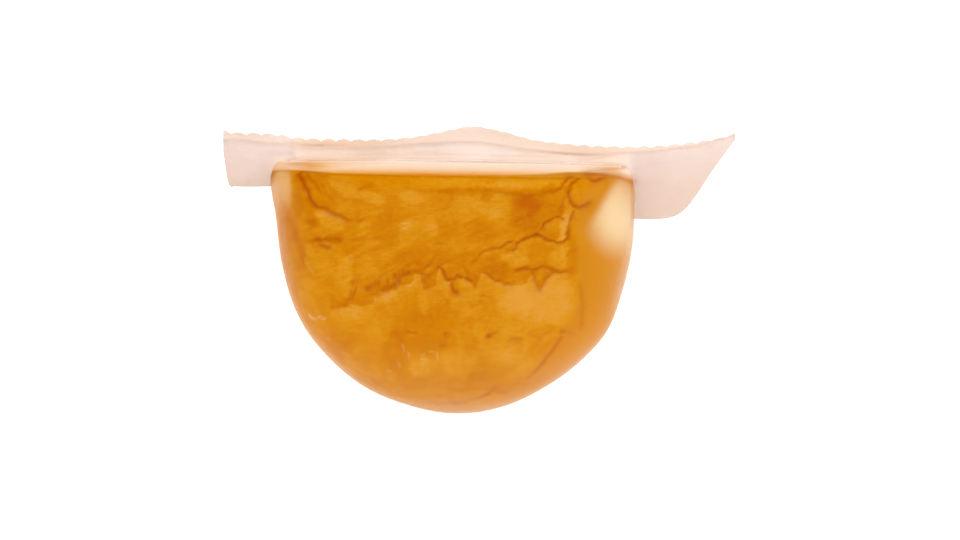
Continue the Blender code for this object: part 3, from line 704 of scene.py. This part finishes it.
def mesh_piece(name, points, faces, fields, material, middle=None):
    """A mesh object from points in mm, with a float attribute for each field, riding on the part's body."""
    if middle is not None:
        points = np.vstack([points, middle])
        fields = {key: np.append(values, values[-1]) for key, values in fields.items()}
    mesh = bpy.data.meshes.new(name)
    mesh.from_pydata((points * MM).tolist(), [], faces)
    mesh.validate()
    for key, values in fields.items():
        mesh.attributes.new(key, "FLOAT", "POINT").data.foreach_set("value", values.astype(np.float32))
    mesh.shade_smooth()
    mesh.materials.append(material)
    piece = placed(name, mesh)
    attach(piece, "root")
    return piece


def rind_tone(surface, rough, marked, crack_highlight):
    """Tone of the rind, lighter above 0. rough is 1 outside the smooth zone and marked is 1 on the front."""
    y, height = surface.points.T[1:]
    tone = marked * rough * (patch_tone(surface.front_places + surface.patch_warp, FRONT_PATCHES)
                             + flame_tone(surface.front_places + FLAME_WARP * surface.warp)
                             + dark_field(surface.front_places + BORDER_WARP * surface.warp))
    back_patches = random_patches(BACK_PATCHES, seed=8)
    tone += surface.back * patch_tone(surface.back_places + surface.patch_warp, back_patches)
    # A painted highlight just below each crack.
    tone += CRACK_PAINTED_HIGHLIGHT * rough * crack_highlight
    shifted = surface.points + 2.0 * surface.noise(5.0, seed=24)[:, None]
    islands = noise_at(shifted, (9.0, 9.0, 6.5), 21, 3)
    tone += ISLAND_TONE * rough * (smoothstep(0.0, 0.22, islands) - 0.45)
    tone += CLOUD_TONE * surface.noise(14.0, seed=23)
    halfway = rough * smoothstep(34, 38, height) * smoothstep(62, 54, height)
    cosine, sine = math.cos(STREAK_LEAN), math.sin(STREAK_LEAN)
    leaning = surface.points[:, [0, 2]] @ np.array([[cosine, -sine], [sine, cosine]])
    leaning = np.stack([leaning[:, 0], y, leaning[:, 1]], axis=-1)
    tone += STREAK_TONE * halfway * noise_at(leaning, (7.0, 7.0, 1.1), 27, 3)
    lower = rough * smoothstep(36, 28, height)
    tone += LOW_STREAK_TONE * lower * surface.noise((2.2, 2.2, 13.0), seed=25)
    # Painted light from the floor on the bottom of the front.
    tone += EVEN_TONE + BOTTOM_PAINTED_LIGHT * smoothstep(7, 1.5, surface.front_places[:, 1]) * surface.front
    return tone


def make_cheese(material):
    surface = Surface(columns=440, front_crowding=2.6, side_rings=190, rim_rings=6, face_rings=16)
    x, y, height = surface.points.T
    places, front, back, on_side = surface.front_places, surface.front, surface.back, surface.on_side
    rough = 1 - surface.smooth_zone()
    uneven = np.clip(0.9 * surface.noise(2.5, seed=17, octaves=2), -0.5, 0.6)
    front_dark, front_groove = crack_marks(surface.front_warped, FRONT_CRACKS, uneven)
    # The cracks moved down a little give the painted highlight below each of them.
    front_crack_highlight, _ = crack_marks(surface.front_warped + CRACK_HIGHLIGHT_DROP, FRONT_CRACKS)
    back_cracks = random_cracks(BACK_CRACKS, seed=5)
    back_dark, back_groove = crack_marks(surface.back_warped, back_cracks)
    back_crack_highlight, _ = crack_marks(surface.back_warped + CRACK_HIGHLIGHT_DROP, back_cracks)
    marked = np.maximum(front, surface.front_half * smoothstep(60, 62, height))
    rim_line = RIM_LINE * bump(surface.ring - surface.turning - RIM_LINE_RING, 1.1) * front
    darkness = on_side * np.maximum(front_dark * marked + back_dark * back, rim_line)
    darkness = np.maximum(darkness, (1 - on_side) * surface.front_half * front_dark)
    groove = on_side * (front_groove * front + back_groove * back)
    fine = surface.noise(2.0, seed=31) * rough
    depth = surface.broad_relief() + on_side * smoothstep(0.5, 4, height) * (
        CRACK_DEPTH * groove * surface.fade + FINE_DEPTH * fine)
    from_rim = np.min([LEFT_HALF_WIDTH + x, 2 * (RIGHT_HALF_WIDTH - x), FRONT_DEPTH + y, BACK_DEPTH - y],
                      axis=0)
    veiled = veil(places) * smoothstep(38, 44, np.abs(x)) * smoothstep(17, 7, y)
    pale_above = smoothstep(1.2, 2.3, above_veil(places)) * (x > 0)
    fields = {
        "tone": rind_tone(surface, rough, marked, front_crack_highlight * front + back_crack_highlight * back),
        "veil": veiled,
        "veil_pale": np.maximum(pale_above, smoothstep(-2, 1, y)),
        # Painted shade in the film's creases over the cheese's corners.
        "crease_shade": crack_marks(places, FILM_CREASES)[0] * surface.front_half,
        "vein": darkness * (1 - veiled),
        # The pale spot and strip, and the painted glints.
        "pale": front * pale_places(places + PALE_WARP * surface.warp),
        "rough_zone": rough,
        "gloss": on_side * surface.below_rim * (1 - 0.5 * surface.left_front),
        "paste": (1 - on_side) * (1 - surface.front_half * (1 - veil(places))),
        "rim_share": from_rim / FRONT_DEPTH,
        "corner_light": CORNER_LIGHT * (1 - on_side) * bump(y, CORNER_LIGHT_WIDTH),
    }
    centre = [0.0, 0.0, cut_face_height(0.0, 0.0) - FILM_GAP]
    cheese = mesh_piece("cheese", surface.moved(depth + FILM_GAP),
                        closed_faces(*surface.shape), fields, material, centre)
    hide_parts("scamorza")


def make_tight_film(material):
    """The film that is drawn tight over the cheese: it spans the cracks and is hazy where it stands off."""
    surface = Surface(columns=300, front_crowding=1.6, side_rings=110, rim_rings=5, face_rings=22)
    up, on_side = surface.front_places[:, 1], surface.on_side
    _, groove = crack_marks(surface.front_warped, FRONT_CRACKS)
    wrinkle = surface.noise((5.0, 5.0, 14.0), seed=41)
    sides = smoothstep(0.45, 0.95, np.abs(surface.normals[:, 0]))
    relief = SPANNED_GROOVE * groove * surface.front - SIDE_WRINKLE * sides * wrinkle
    depth = surface.broad_relief() + surface.fade * relief
    # Low down and at the foot: haze, and a painted reflection of the floor's light.
    low = smoothstep(22, 4, up) * (0.5 + 0.5 * surface.front)
    foot = smoothstep(5, 0.5, up) * surface.front
    cover = ZONE_COVER * surface.smooth_zone() + LOW_COVER_PAINTED_LIGHT * low + SIDE_COVER * sides + FOOT_COVER_PAINTED_LIGHT * foot
    cover = cover * (1 + COVER_CLOUDS * surface.noise(6.0, seed=51))
    cover = on_side * cover + (1 - on_side) * CUT_FACE_COVER
    edge = on_side * (EDGE_COVER - LEFT_EDGE_LOSS * surface.left_front) * surface.below_rim
    centre = [0.0, 0.0, cut_face_height(0.0, 0.0)]
    film = mesh_piece("tight_film", surface.moved(depth), closed_faces(*surface.shape),
                      {"cover": cover, "edge": edge}, material, centre)
    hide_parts("scamorza")


# ---- the bag's free film

GAP = 0.4
COLUMNS_PER_TOOTH = 12
EAR_REACH = 3.5
EAR_ROWS = 26
UPPER_ROWS = 30
UPPER_ROW_CROWDING = 1.3
FOOT_HALF = 0.04
FOOT_HEIGHT = 1.0
FOOT_FADE = 7.0
SEALED_HALF = 0.10
OPEN_HALF = 0.22
WRINKLE_DEPTH = 0.16
FINE_WRINKLE_DEPTH = 0.02
SEAL_DEPTH = 0.25
# Line along which the two films are welded, below the toothed edge.
SEAL_LINE = [(-60, 72.9), (-52, 71.9), (-43, 71.2), (-31.5, 70.6), (-19.6, 70.9), (-7.7, 71.8), (5.6, 71.8),
    (16.2, 70.3), (26.8, 69.2), (34.7, 68.8), (42.7, 69.2), (53.3, 69.8), (63.9, 71), (71.9, 73.1)]

# Faint creases of the free film, on the same chart as the cracks; their darkness is painted shade.
FILM_CREASES = [
    # Over the left corner.
    (0.6, 0.45, 0.35, [(-44.6, 65.8), (-42.2, 66), (-39.8, 65.6), (-37.4, 65)]),
    (0.3, 0.25, 0.3, [(-49.3, 64.6), (-46.7, 64.5), (-44.3, 64.2)]),
    (0.4, 0.05, 0.12, [(-49.3, 66.9), (-46.4, 67.2), (-43.8, 67.2), (-41.6, 66.6)]),
    # Over the right corner and on its ear.
    (0.5, 0.6, 0.5, [(34, 63.9), (36.3, 64), (38.5, 64.3), (41.1, 64.6), (43.8, 64.8)]),
    (0.55, 0.9, 1, [(37.2, 63.7), (39.3, 63.1), (41.8, 62.5), (44.5, 61.7), (46.9, 61)]),
    (0.3, 0.2, 0.2, [(31.6, 67), (34.7, 66.8), (37.9, 67.4), (40.6, 68.1)]),
    (0.4, 0.6, 0.25, [(45.6, 61.4), (46.9, 61.2), (48.3, 61.3)]),
    (0.5, 0.15, 0.1, [(46.4, 64.4), (50.7, 65.6), (55.4, 66.2)]),
    # Along the left part of the seal.
    (0.4, 0.35, 0.8, [(-46.4, 71.2), (-42.2, 70.8), (-39, 70.6), (-36, 70.6)]),
    (0.4, 0.6, 0.1, [(-36, 70.6), (-32, 70.6), (-28, 70.5)]),
]

# Marks of the free film: (place across, width), and lengths on its foot.
WELD_DARKEST = (30.0, 8.0)
WELD_SHADE = 0.42
WELD_MORE_SHADE = 0.35
WELD_WIDTH = 0.38
# Painted light where shade falls on the film: on the right of the band, at the left corner and along the left
# seam.
RIGHT_PAINTED_LIGHT = (34.0, 10.0)
MIDDLE_LIGHT = (2.0, 26.0)
LEFT_CORNER_PAINTED_LIGHT = (-45.6, 3.4)
LEFT_CORNER_PAINTED_LIGHT_HEIGHT = 1.6
LEFT_SEAM_PAINTED_LIGHT = (-45.0, 2.6)
# Reach of the painted light along the foot, where the cut face shades the film.
FOOT_GLOW = 2.0
FOOT_CLEAR = 0.7
# Across the bag, where the tint over the cut face begins and is full at each end.
LEFT_BAND_END = (-44.8, -42.4)
RIGHT_BAND_END = (47.5, 42.5)
# Cover of the free film, what each part adds to it, and the share that the foot loses.
COVER = 0.58
SEAL_COVER = 0.03
WRINKLE_COVER = 0.02
BAND_COVER = 0.17
# Cover added where light is painted, so that the painted light shows.
PAINTED_LIGHT_COVER = 0.12
CORNER_PAINTED_LIGHT_COVER = 0.2
FOOT_LOSS = 0.85
FREE_EDGE_COVER = 0.25


def bump_at(x, place_and_width):
    place, width = place_and_width
    return bump(x - place, width)


def top_edge_height(x):
    tooth = np.abs(np.cos(math.pi * (x - LEFT_TIP) / TOOTH_PITCH))
    height = TOOTH_HEIGHT + 0.35 * smoothstep(-5, -30, x) + 0.25 * smoothstep(15, 45, x)
    return through(TOP_EDGE, x) - height * (1 - tooth)


def ear_bottom_height(x):
    edge = np.where(x < 0, through(LEFT_EAR_EDGE, x), through(RIGHT_EAR_EDGE, x))
    return np.minimum(edge, top_edge_height(x) - TIP_HEIGHT)


def film_wave(x, z):
    """How far the film stands back from the plane Y = 0."""
    rise = smoothstep(CHEESE_HEIGHT, CHEESE_HEIGHT + 8, z)
    long_size, long_length = LONG_WAVE
    short_size, short_length = SHORT_WAVE
    back = rise * long_size * np.sin(2 * math.pi * x / long_length + 0.8)
    back = back + rise * short_size * np.sin(2 * math.pi * x / short_length)
    past_right = np.maximum(0, x - RIGHT_HALF_WIDTH) / (RIGHT_TIP - RIGHT_HALF_WIDTH)
    past_left = np.maximum(0, -x - LEFT_HALF_WIDTH) / (-LEFT_TIP - LEFT_HALF_WIDTH)
    return back + RIGHT_EAR_CURL * past_right**2 + LEFT_EAR_CURL * past_left**2


def flange_grid():
    """x and z of the free film by row and column, and which cells between them are film."""
    count = round((RIGHT_TIP - LEFT_TIP) / TOOTH_PITCH * COLUMNS_PER_TOOTH)
    x = np.linspace(LEFT_TIP, RIGHT_TIP, count + 1)
    left_start = int(np.argmin(np.abs(x + LEFT_HALF_WIDTH - EAR_REACH)))
    right_start = int(np.argmin(np.abs(x - RIGHT_HALF_WIDTH + EAR_REACH)))
    top, bottom = top_edge_height(x), ear_bottom_height(x)
    start = np.where(x < 0, x[left_start], x[right_start])
    start_bottom = ear_bottom_height(start)
    level = cut_face_height(start, 0.0) + GAP - start_bottom
    base = bottom + (top - bottom) * level / (top_edge_height(start) - start_bottom)
    inner = (np.arange(count + 1) > left_start) & (np.arange(count + 1) < right_start)
    base = np.where(inner, cut_face_height(x, 0.0) + 0.1, base)
    lower = np.linspace(0, 1, EAR_ROWS, endpoint=False)[:, None]
    upper = (np.linspace(0, 1, UPPER_ROWS + 1) ** UPPER_ROW_CROWDING)[:, None]
    z = np.vstack([bottom + (base - bottom) * lower, base + (top - base) * upper])
    filled = np.ones((len(z) - 1, count), bool)
    filled[:EAR_ROWS, left_start:right_start] = False
    return np.broadcast_to(x, z.shape), z, filled


def make_free_film(material):
    """The flange over the cut face, with its welded seal and toothed edge, and the two ears."""
    x, z, filled = flange_grid()
    flat = np.stack([x.ravel(), np.zeros(x.size), z.ravel()], axis=-1)
    wrinkle = noise_at(flat, (7.0, 1.0, 3.5), 61, 3).reshape(x.shape)
    fine = noise_at(flat, (16.0, 1.0, 1.4), 71, 2).reshape(x.shape)
    above_seal = z - through(SEAL_LINE, x)
    sealed = smoothstep(-0.5, 0.2, above_seal)
    inside = smoothstep(0, FOOT_FADE, x + LEFT_HALF_WIDTH) * smoothstep(0, FOOT_FADE, RIGHT_HALF_WIDTH - x)
    rise = np.maximum(z - cut_face_height(x, 0.0), 0)
    half = OPEN_HALF + (SEALED_HALF - OPEN_HALF) * sealed
    half = half + inside * (FOOT_HALF - half) * bump(rise, FOOT_HEIGHT)
    loose = smoothstep(CHEESE_HEIGHT, CHEESE_HEIGHT + 3, z) + 1 - inside
    wrinkled = WRINKLE_DEPTH * wrinkle + FINE_WRINKLE_DEPTH * fine
    middle = film_wave(x, z) + np.clip(loose, 0, 1) * wrinkled - SEAL_DEPTH * bump(above_seal + 0.4, 0.5)
    weld = (WELD_SHADE + WELD_MORE_SHADE * bump_at(x, WELD_DARKEST)) * bump(above_seal + 0.2, WELD_WIDTH)
    band = smoothstep(*LEFT_BAND_END, x) * smoothstep(*RIGHT_BAND_END, x)
    # Painted light on the film where shade falls: along the foot, on the right of the band, at the left corner
    # and seam.
    foot = 0.65 * inside * bump(rise, FOOT_GLOW)
    painted_light_right = bump_at(x, RIGHT_PAINTED_LIGHT) * (1 - 0.55 * smoothstep(-0.8, 0.6, above_seal))
    corner = bump_at(x, LEFT_CORNER_PAINTED_LIGHT) * bump(rise, LEFT_CORNER_PAINTED_LIGHT_HEIGHT)
    bright = np.maximum(np.clip(np.maximum(foot, painted_light_right), 0, 1) * band, 0.85 * corner)
    bright = np.maximum(bright, 0.25 * bump_at(x, LEFT_SEAM_PAINTED_LIGHT))
    cover = (COVER + SEAL_COVER * sealed + WRINKLE_COVER * wrinkle + BAND_COVER * band
             + PAINTED_LIGHT_COVER * bright + CORNER_PAINTED_LIGHT_COVER * corner)
    cover = cover * (1 - FOOT_LOSS * inside * bump(rise, FOOT_CLEAR))
    fields = {
        "cover": np.clip(cover, 0.05, 1),
        "edge": np.full(x.shape, FREE_EDGE_COVER),
        "warm": band,
        "light": bump_at(x, MIDDLE_LIGHT),
        # Where light is painted on the film.
        "bright": bright,
        "low": smoothstep(72, 58, z),
        "sealed": sealed * (0.35 + 0.65 * band),
        # Painted shade of the weld and of the film's creases.
        "crease_shade": np.maximum(weld.ravel(), crack_marks(chart_of(flat), FILM_CREASES)[0]),
    }
    fields = {key: np.tile(values.ravel(), 2) for key, values in fields.items()}
    sheets = [np.stack([x, middle + side * half, z], axis=-1).reshape(-1, 3) for side in (-1, 1)]
    film = mesh_piece("free_film", np.vstack(sheets), sheet_pair_faces(filled), fields, material)
    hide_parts("bag_flange")


def sheet_pair_faces(filled):
    """Faces of a front sheet and a back sheet over the filled cells, closed along every border."""
    rows, columns = filled.shape
    sheet = (rows + 1) * (columns + 1)
    faces = []
    for row, column in np.argwhere(filled).tolist():
        first = row * (columns + 1) + column
        corners = [first, first + 1, first + columns + 2, first + columns + 1]
        beside = [(row - 1, column), (row, column + 1), (row + 1, column), (row, column - 1)]
        faces.append(corners)
        faces.append([sheet + corner for corner in reversed(corners)])
        for start, end, (near_row, near_column) in zip(corners, corners[1:] + corners[:1], beside):
            within = 0 <= near_row < rows and 0 <= near_column < columns
            if not (within and filled[near_row, near_column]):
                faces.append([end, start, sheet + start, sheet + end])
    return faces


# ---- materials


def linear(red, green, blue):
    """Linear colour from 0 to 255 display values."""
    return tuple((value / 255) ** 2.2 for value in (red, green, blue)) + (1.0,)


class Nodes:
    """Short calls for building the node tree of a material or a world."""

    def __init__(self, owner):
        owner.use_nodes = True
        self.tree = owner.node_tree

    def feed(self, socket, value):
        """Sets a socket to a plain value, or links it to an output or to the attribute of a name."""
        if isinstance(value, (tuple, int, float)):
            socket.default_value = value
        else:
            self.tree.links.new(self.attribute(value) if isinstance(value, str) else value, socket)

    def feed_all(self, node, values):
        for key, value in values.items():
            self.feed(node.inputs[key], value)

    def add(self, kind, inputs=None, **properties):
        node = self.tree.nodes.new(kind)
        for key, value in properties.items():
            setattr(node, key, value)
        self.feed_all(node, inputs or {})
        return node

    def attribute(self, name):
        return self.add("ShaderNodeAttribute", attribute_name=name).outputs["Fac"]

    def maths(self, operation, first, second, clamp=False):
        inputs = {0: first, 1: second}
        return self.add("ShaderNodeMath", inputs, operation=operation, use_clamp=clamp).outputs[0]

    def plus(self, first, second, clamp=False):
        return self.maths("ADD", first, second, clamp)

    def times(self, first, second):
        return self.maths("MULTIPLY", first, second)

    def noise(self, per_mm, detail=3.0, roughness=0.55, stretch=(1, 1, 1), distortion=0.0):
        """Noise around 0 with per_mm cells to the millimetre, longer along an axis whose stretch is low."""
        place = self.add("ShaderNodeTexCoord").outputs["Object"]
        mapping = self.add("ShaderNodeMapping", {"Vector": place, "Scale": stretch})
        texture = self.add("ShaderNodeTexNoise", {
            "Vector": mapping.outputs["Vector"], "Scale": per_mm / MM, "Detail": detail,
            "Roughness": roughness, "Distortion": distortion})
        return self.maths("SUBTRACT", texture.outputs["Fac"], 0.5)

    def ramp(self, value, stops):
        node = self.add("ShaderNodeValToRGB", {"Fac": value})
        elements = node.color_ramp.elements
        while len(elements) < len(stops):
            elements.new(1.0)
        for element, (position, colour) in zip(elements, stops):
            element.position = position
            element.color = colour
        return node.outputs["Color"]

    def mix(self, share, first, second):
        """The first colour where share is 0, and the second where it is 1."""
        node = self.add("ShaderNodeMix", data_type="RGBA")
        self.feed_all(node, {"Factor": share, "A": first, "B": second})
        return node.outputs["Result"]

    def bump(self, height, strength, distance):
        node = self.add("ShaderNodeBump", {"Height": height, "Strength": strength, "Distance": distance * MM})
        return node.outputs["Normal"]


def new_material(name):
    """A material with its nodes and its shader."""
    material = bpy.data.materials.new(name)
    nodes = Nodes(material)
    return material, nodes, nodes.tree.nodes["Principled BSDF"]


RIND_GLOSS = 0.025
AMBER = [(0.0, linear(165, 85, 0)), (0.25, linear(173, 102, 0)), (0.5, linear(179, 112, 0)),
         (0.75, linear(187, 125, 24)), (1.0, linear(192, 133, 50))]
VEIN_BORDER = linear(161, 78, 0)
VEIN_CORE = linear(148, 60, 0)
PALE_RIND = linear(211, 184, 142)
# From the cut face's rim to its middle.
PASTE = [(0.0, linear(188, 108, 8)), (0.12, linear(195, 121, 31)), (0.2, linear(207, 142, 72)),
         (0.32, linear(214, 162, 110)), (0.46, linear(218, 179, 142)), (0.6, linear(221, 190, 161)),
         (0.75, linear(225, 197, 174)), (1.0, linear(230, 205, 188))]
VEIL = linear(215, 171, 133)
PALE_VEIL = linear(236, 205, 180)
VEIL_CREASE_SHADE = linear(176, 108, 48)
CORNER_GLOW = linear(250, 234, 218)
TIGHT_FILM = [(0.3, linear(226, 184, 142)), (0.7, linear(232, 194, 156))]
# The free film's colours: (at the ends, in the middle) or (high, low).
OVER_FACE = (linear(238, 223, 208), linear(230, 214, 204))
AT_SEAL = (linear(235, 209, 185), linear(232, 212, 198))
EAR = (linear(205, 179, 164), linear(200, 165, 141))
# Painted light for the film where shade falls.
PAINTED_LIGHT_FILM = linear(250, 237, 228)
FILM_CREASE_SHADE = linear(190, 138, 105)


def cheese_material():
    material, nodes, shader = new_material("smoked_rind_and_paste")
    cloud = nodes.noise(0.22, 4.0, 0.6, (1, 1, 1.6), 0.6)
    grain = nodes.noise(1.1, 3.0, 0.6, (1, 1, 0.6))
    wisps = nodes.noise(0.9, 4.0, 0.65, (0.55, 1, 1.9), 0.8)
    detail = nodes.plus(nodes.times(cloud, 0.3), nodes.times(grain, 0.25))
    detail = nodes.plus(detail, nodes.times(wisps, 0.6))
    detail = nodes.times(detail, nodes.plus(nodes.times("rough_zone", 0.7), 0.3))
    tone = nodes.plus(nodes.plus(nodes.times("tone", 0.5), detail), 0.5)
    rind = nodes.mix("vein", nodes.ramp(tone, AMBER), nodes.mix("vein", VEIN_BORDER, VEIN_CORE))
    # The pale rind colour also paints the glints.
    rind = nodes.mix("pale", rind, PALE_RIND)
    paste_noise = nodes.times(nodes.noise(0.35, 4.0, 0.6, (0.5, 1, 1), 0.5), 0.12)
    paste = nodes.ramp(nodes.plus("rim_share", paste_noise), PASTE)
    colour = nodes.mix("paste", rind, paste)
    colour = nodes.mix("veil", colour, nodes.mix("veil_pale", VEIL, PALE_VEIL))
    # Painted shade in the film's creases.
    colour = nodes.mix("crease_shade", colour, VEIL_CREASE_SHADE)
    colour = nodes.mix("corner_light", colour, CORNER_GLOW)
    nodes.feed_all(shader, {
        "Base Color": colour,
        "Normal": nodes.bump(nodes.plus(grain, nodes.times(cloud, 1.5)), 0.25, 0.3),
        "Roughness": 0.32,
        "Specular IOR Level": RIND_GLOSS,
        "Subsurface Weight": 0.15,
        "Subsurface Radius": (1.0, 0.45, 0.15),
        "Subsurface Scale": 1.5 * MM,
    })
    # The socket keeps its plain value too, for programs that read only that.
    nodes.feed(shader.inputs["Specular IOR Level"], nodes.times("gloss", RIND_GLOSS))
    return material


def film_alpha(nodes, power):
    """Cover from the attribute, rising by the edge attribute where the film is seen edge on."""
    facing = nodes.add("ShaderNodeLayerWeight", {"Blend": 0.5}).outputs["Facing"]
    edge = nodes.times(nodes.maths("POWER", facing, power), "edge")
    return nodes.plus("cover", edge, clamp=True)


def tight_film_material():
    material, nodes, shader = new_material("tight_film")
    nodes.feed_all(shader, {
        "Base Color": nodes.ramp(nodes.plus(nodes.noise(0.2), 0.5), TIGHT_FILM),
        "Alpha": film_alpha(nodes, 2.2),
        "Normal": nodes.bump(nodes.noise(0.25, 3.0, 0.5, (1, 1, 0.4)), 0.2, 0.4),
        "Roughness": 0.18,
        "Specular IOR Level": 0.5,
    })
    return material


def free_film_material():
    material, nodes, shader = new_material("free_film")
    warm = nodes.plus("warm", nodes.times(nodes.noise(0.12), 0.5), clamp=True)
    colour = nodes.mix(warm, nodes.mix("low", *EAR), nodes.mix("light", *OVER_FACE))
    colour = nodes.mix("sealed", colour, nodes.mix("light", *AT_SEAL))
    # Painted light where shade falls on the film.
    colour = nodes.mix("bright", colour, PAINTED_LIGHT_FILM)
    # Painted shade of the weld and of the film's creases.
    colour = nodes.mix("crease_shade", colour, FILM_CREASE_SHADE)
    nodes.feed_all(shader, {
        "Base Color": colour,
        "Alpha": film_alpha(nodes, 2.5),
        "Normal": nodes.bump(nodes.noise(0.3, 3.0, 0.5, (0.4, 1, 1)), 0.08, 0.3),
        "Roughness": 0.4,
        "Specular IOR Level": 0.25,
    })
    return material


# ---- studio


FLOOR_REACH = 20.0
FLOOR_GREY = [(0.0, (0.46, 0.46, 0.46, 1)), (1.0, (0.5, 0.5, 0.5, 1))]
WHITE = (1, 1, 1, 1)


def make_camera():
    camera = placed("camera", bpy.data.cameras.new("camera"))
    camera.data.lens = LENS
    camera.data.sensor_width = SENSOR
    camera.data.clip_end = 50.0
    back = Vector((0, -math.cos(VIEW_ELEVATION), math.sin(VIEW_ELEVATION)))
    camera.location = (AIM + back * VIEW_DISTANCE) * MM
    camera.rotation_euler = (-back).to_track_quat("-Z", "Y").to_euler()
    bpy.context.scene.camera = camera


def make_floor():
    mesh = bpy.data.meshes.new("floor")
    corners = [(x * FLOOR_REACH, y * FLOOR_REACH, 0) for x, y in ((-1, -1), (1, -1), (1, 1), (-1, 1))]
    mesh.from_pydata(corners, [], [(0, 1, 2, 3)])
    material, nodes, shader = new_material("pale_floor")
    nodes.feed_all(shader, {
        "Base Color": nodes.ramp(nodes.plus(nodes.noise(0.01, 2.0), 0.5), FLOOR_GREY),
        "Roughness": 0.9,
        "Specular IOR Level": 0.1,
        "Emission Color": WHITE,
        "Emission Strength": 1.0,
    })
    mesh.materials.append(material)
    floor = placed("floor", mesh)


def make_world():
    """White to the camera; as light it is bright all round but for a darker room in front."""
    world = bpy.data.worlds.new("studio")
    bpy.context.scene.world = world
    nodes = Nodes(world)
    direction = nodes.add("ShaderNodeTexCoord").outputs["Generated"]
    depth = nodes.add("ShaderNodeSeparateXYZ", {"Vector": direction}).outputs["Y"]
    strength = nodes.add("ShaderNodeMapRange", {
        "Value": depth, "From Min": -0.85, "From Max": -0.1, "To Min": 0.04, "To Max": 0.8})
    light = nodes.tree.nodes["Background"]
    nodes.feed_all(light, {"Color": WHITE, "Strength": strength.outputs["Result"]})
    seen = nodes.add("ShaderNodeBackground", {"Color": WHITE})
    path = nodes.add("ShaderNodeLightPath")
    mix = nodes.add("ShaderNodeMixShader", {
        "Fac": path.outputs["Is Camera Ray"], 1: light.outputs["Background"], 2: seen.outputs["Background"]})
    nodes.feed(nodes.tree.nodes["World Output"].inputs["Surface"], mix.outputs["Shader"])


def make_softbox(name, place, size, power):
    """A square soft light, place in metres, that faces the cheese."""
    light = bpy.data.lights.new(name, "AREA")
    light.size = size
    light.energy = power
    box = placed(name, light)
    box.location = place
    box.rotation_euler = (-Vector(place)).to_track_quat("-Z", "Y").to_euler()
    box.visible_camera = False
    return box


def make_studio():
    make_camera()
    make_floor()
    make_world()
    make_softbox("light_top", (0.0, -0.3, 2.4), size=2.0, power=28)
    make_softbox("light_left", (-2.2, -1.6, 1.2), size=1.4, power=20)
    make_softbox("light_right", (2.2, -1.6, 1.2), size=1.4, power=26)
    front = make_softbox("light_front", (0.0, -3.2, 1.0), size=2.4, power=36)
    front.visible_glossy = False
    bpy.context.scene.view_settings.view_transform = "Standard"


make_studio()
make_cheese(cheese_material())
make_tight_film(tight_film_material())
make_free_film(free_film_material())
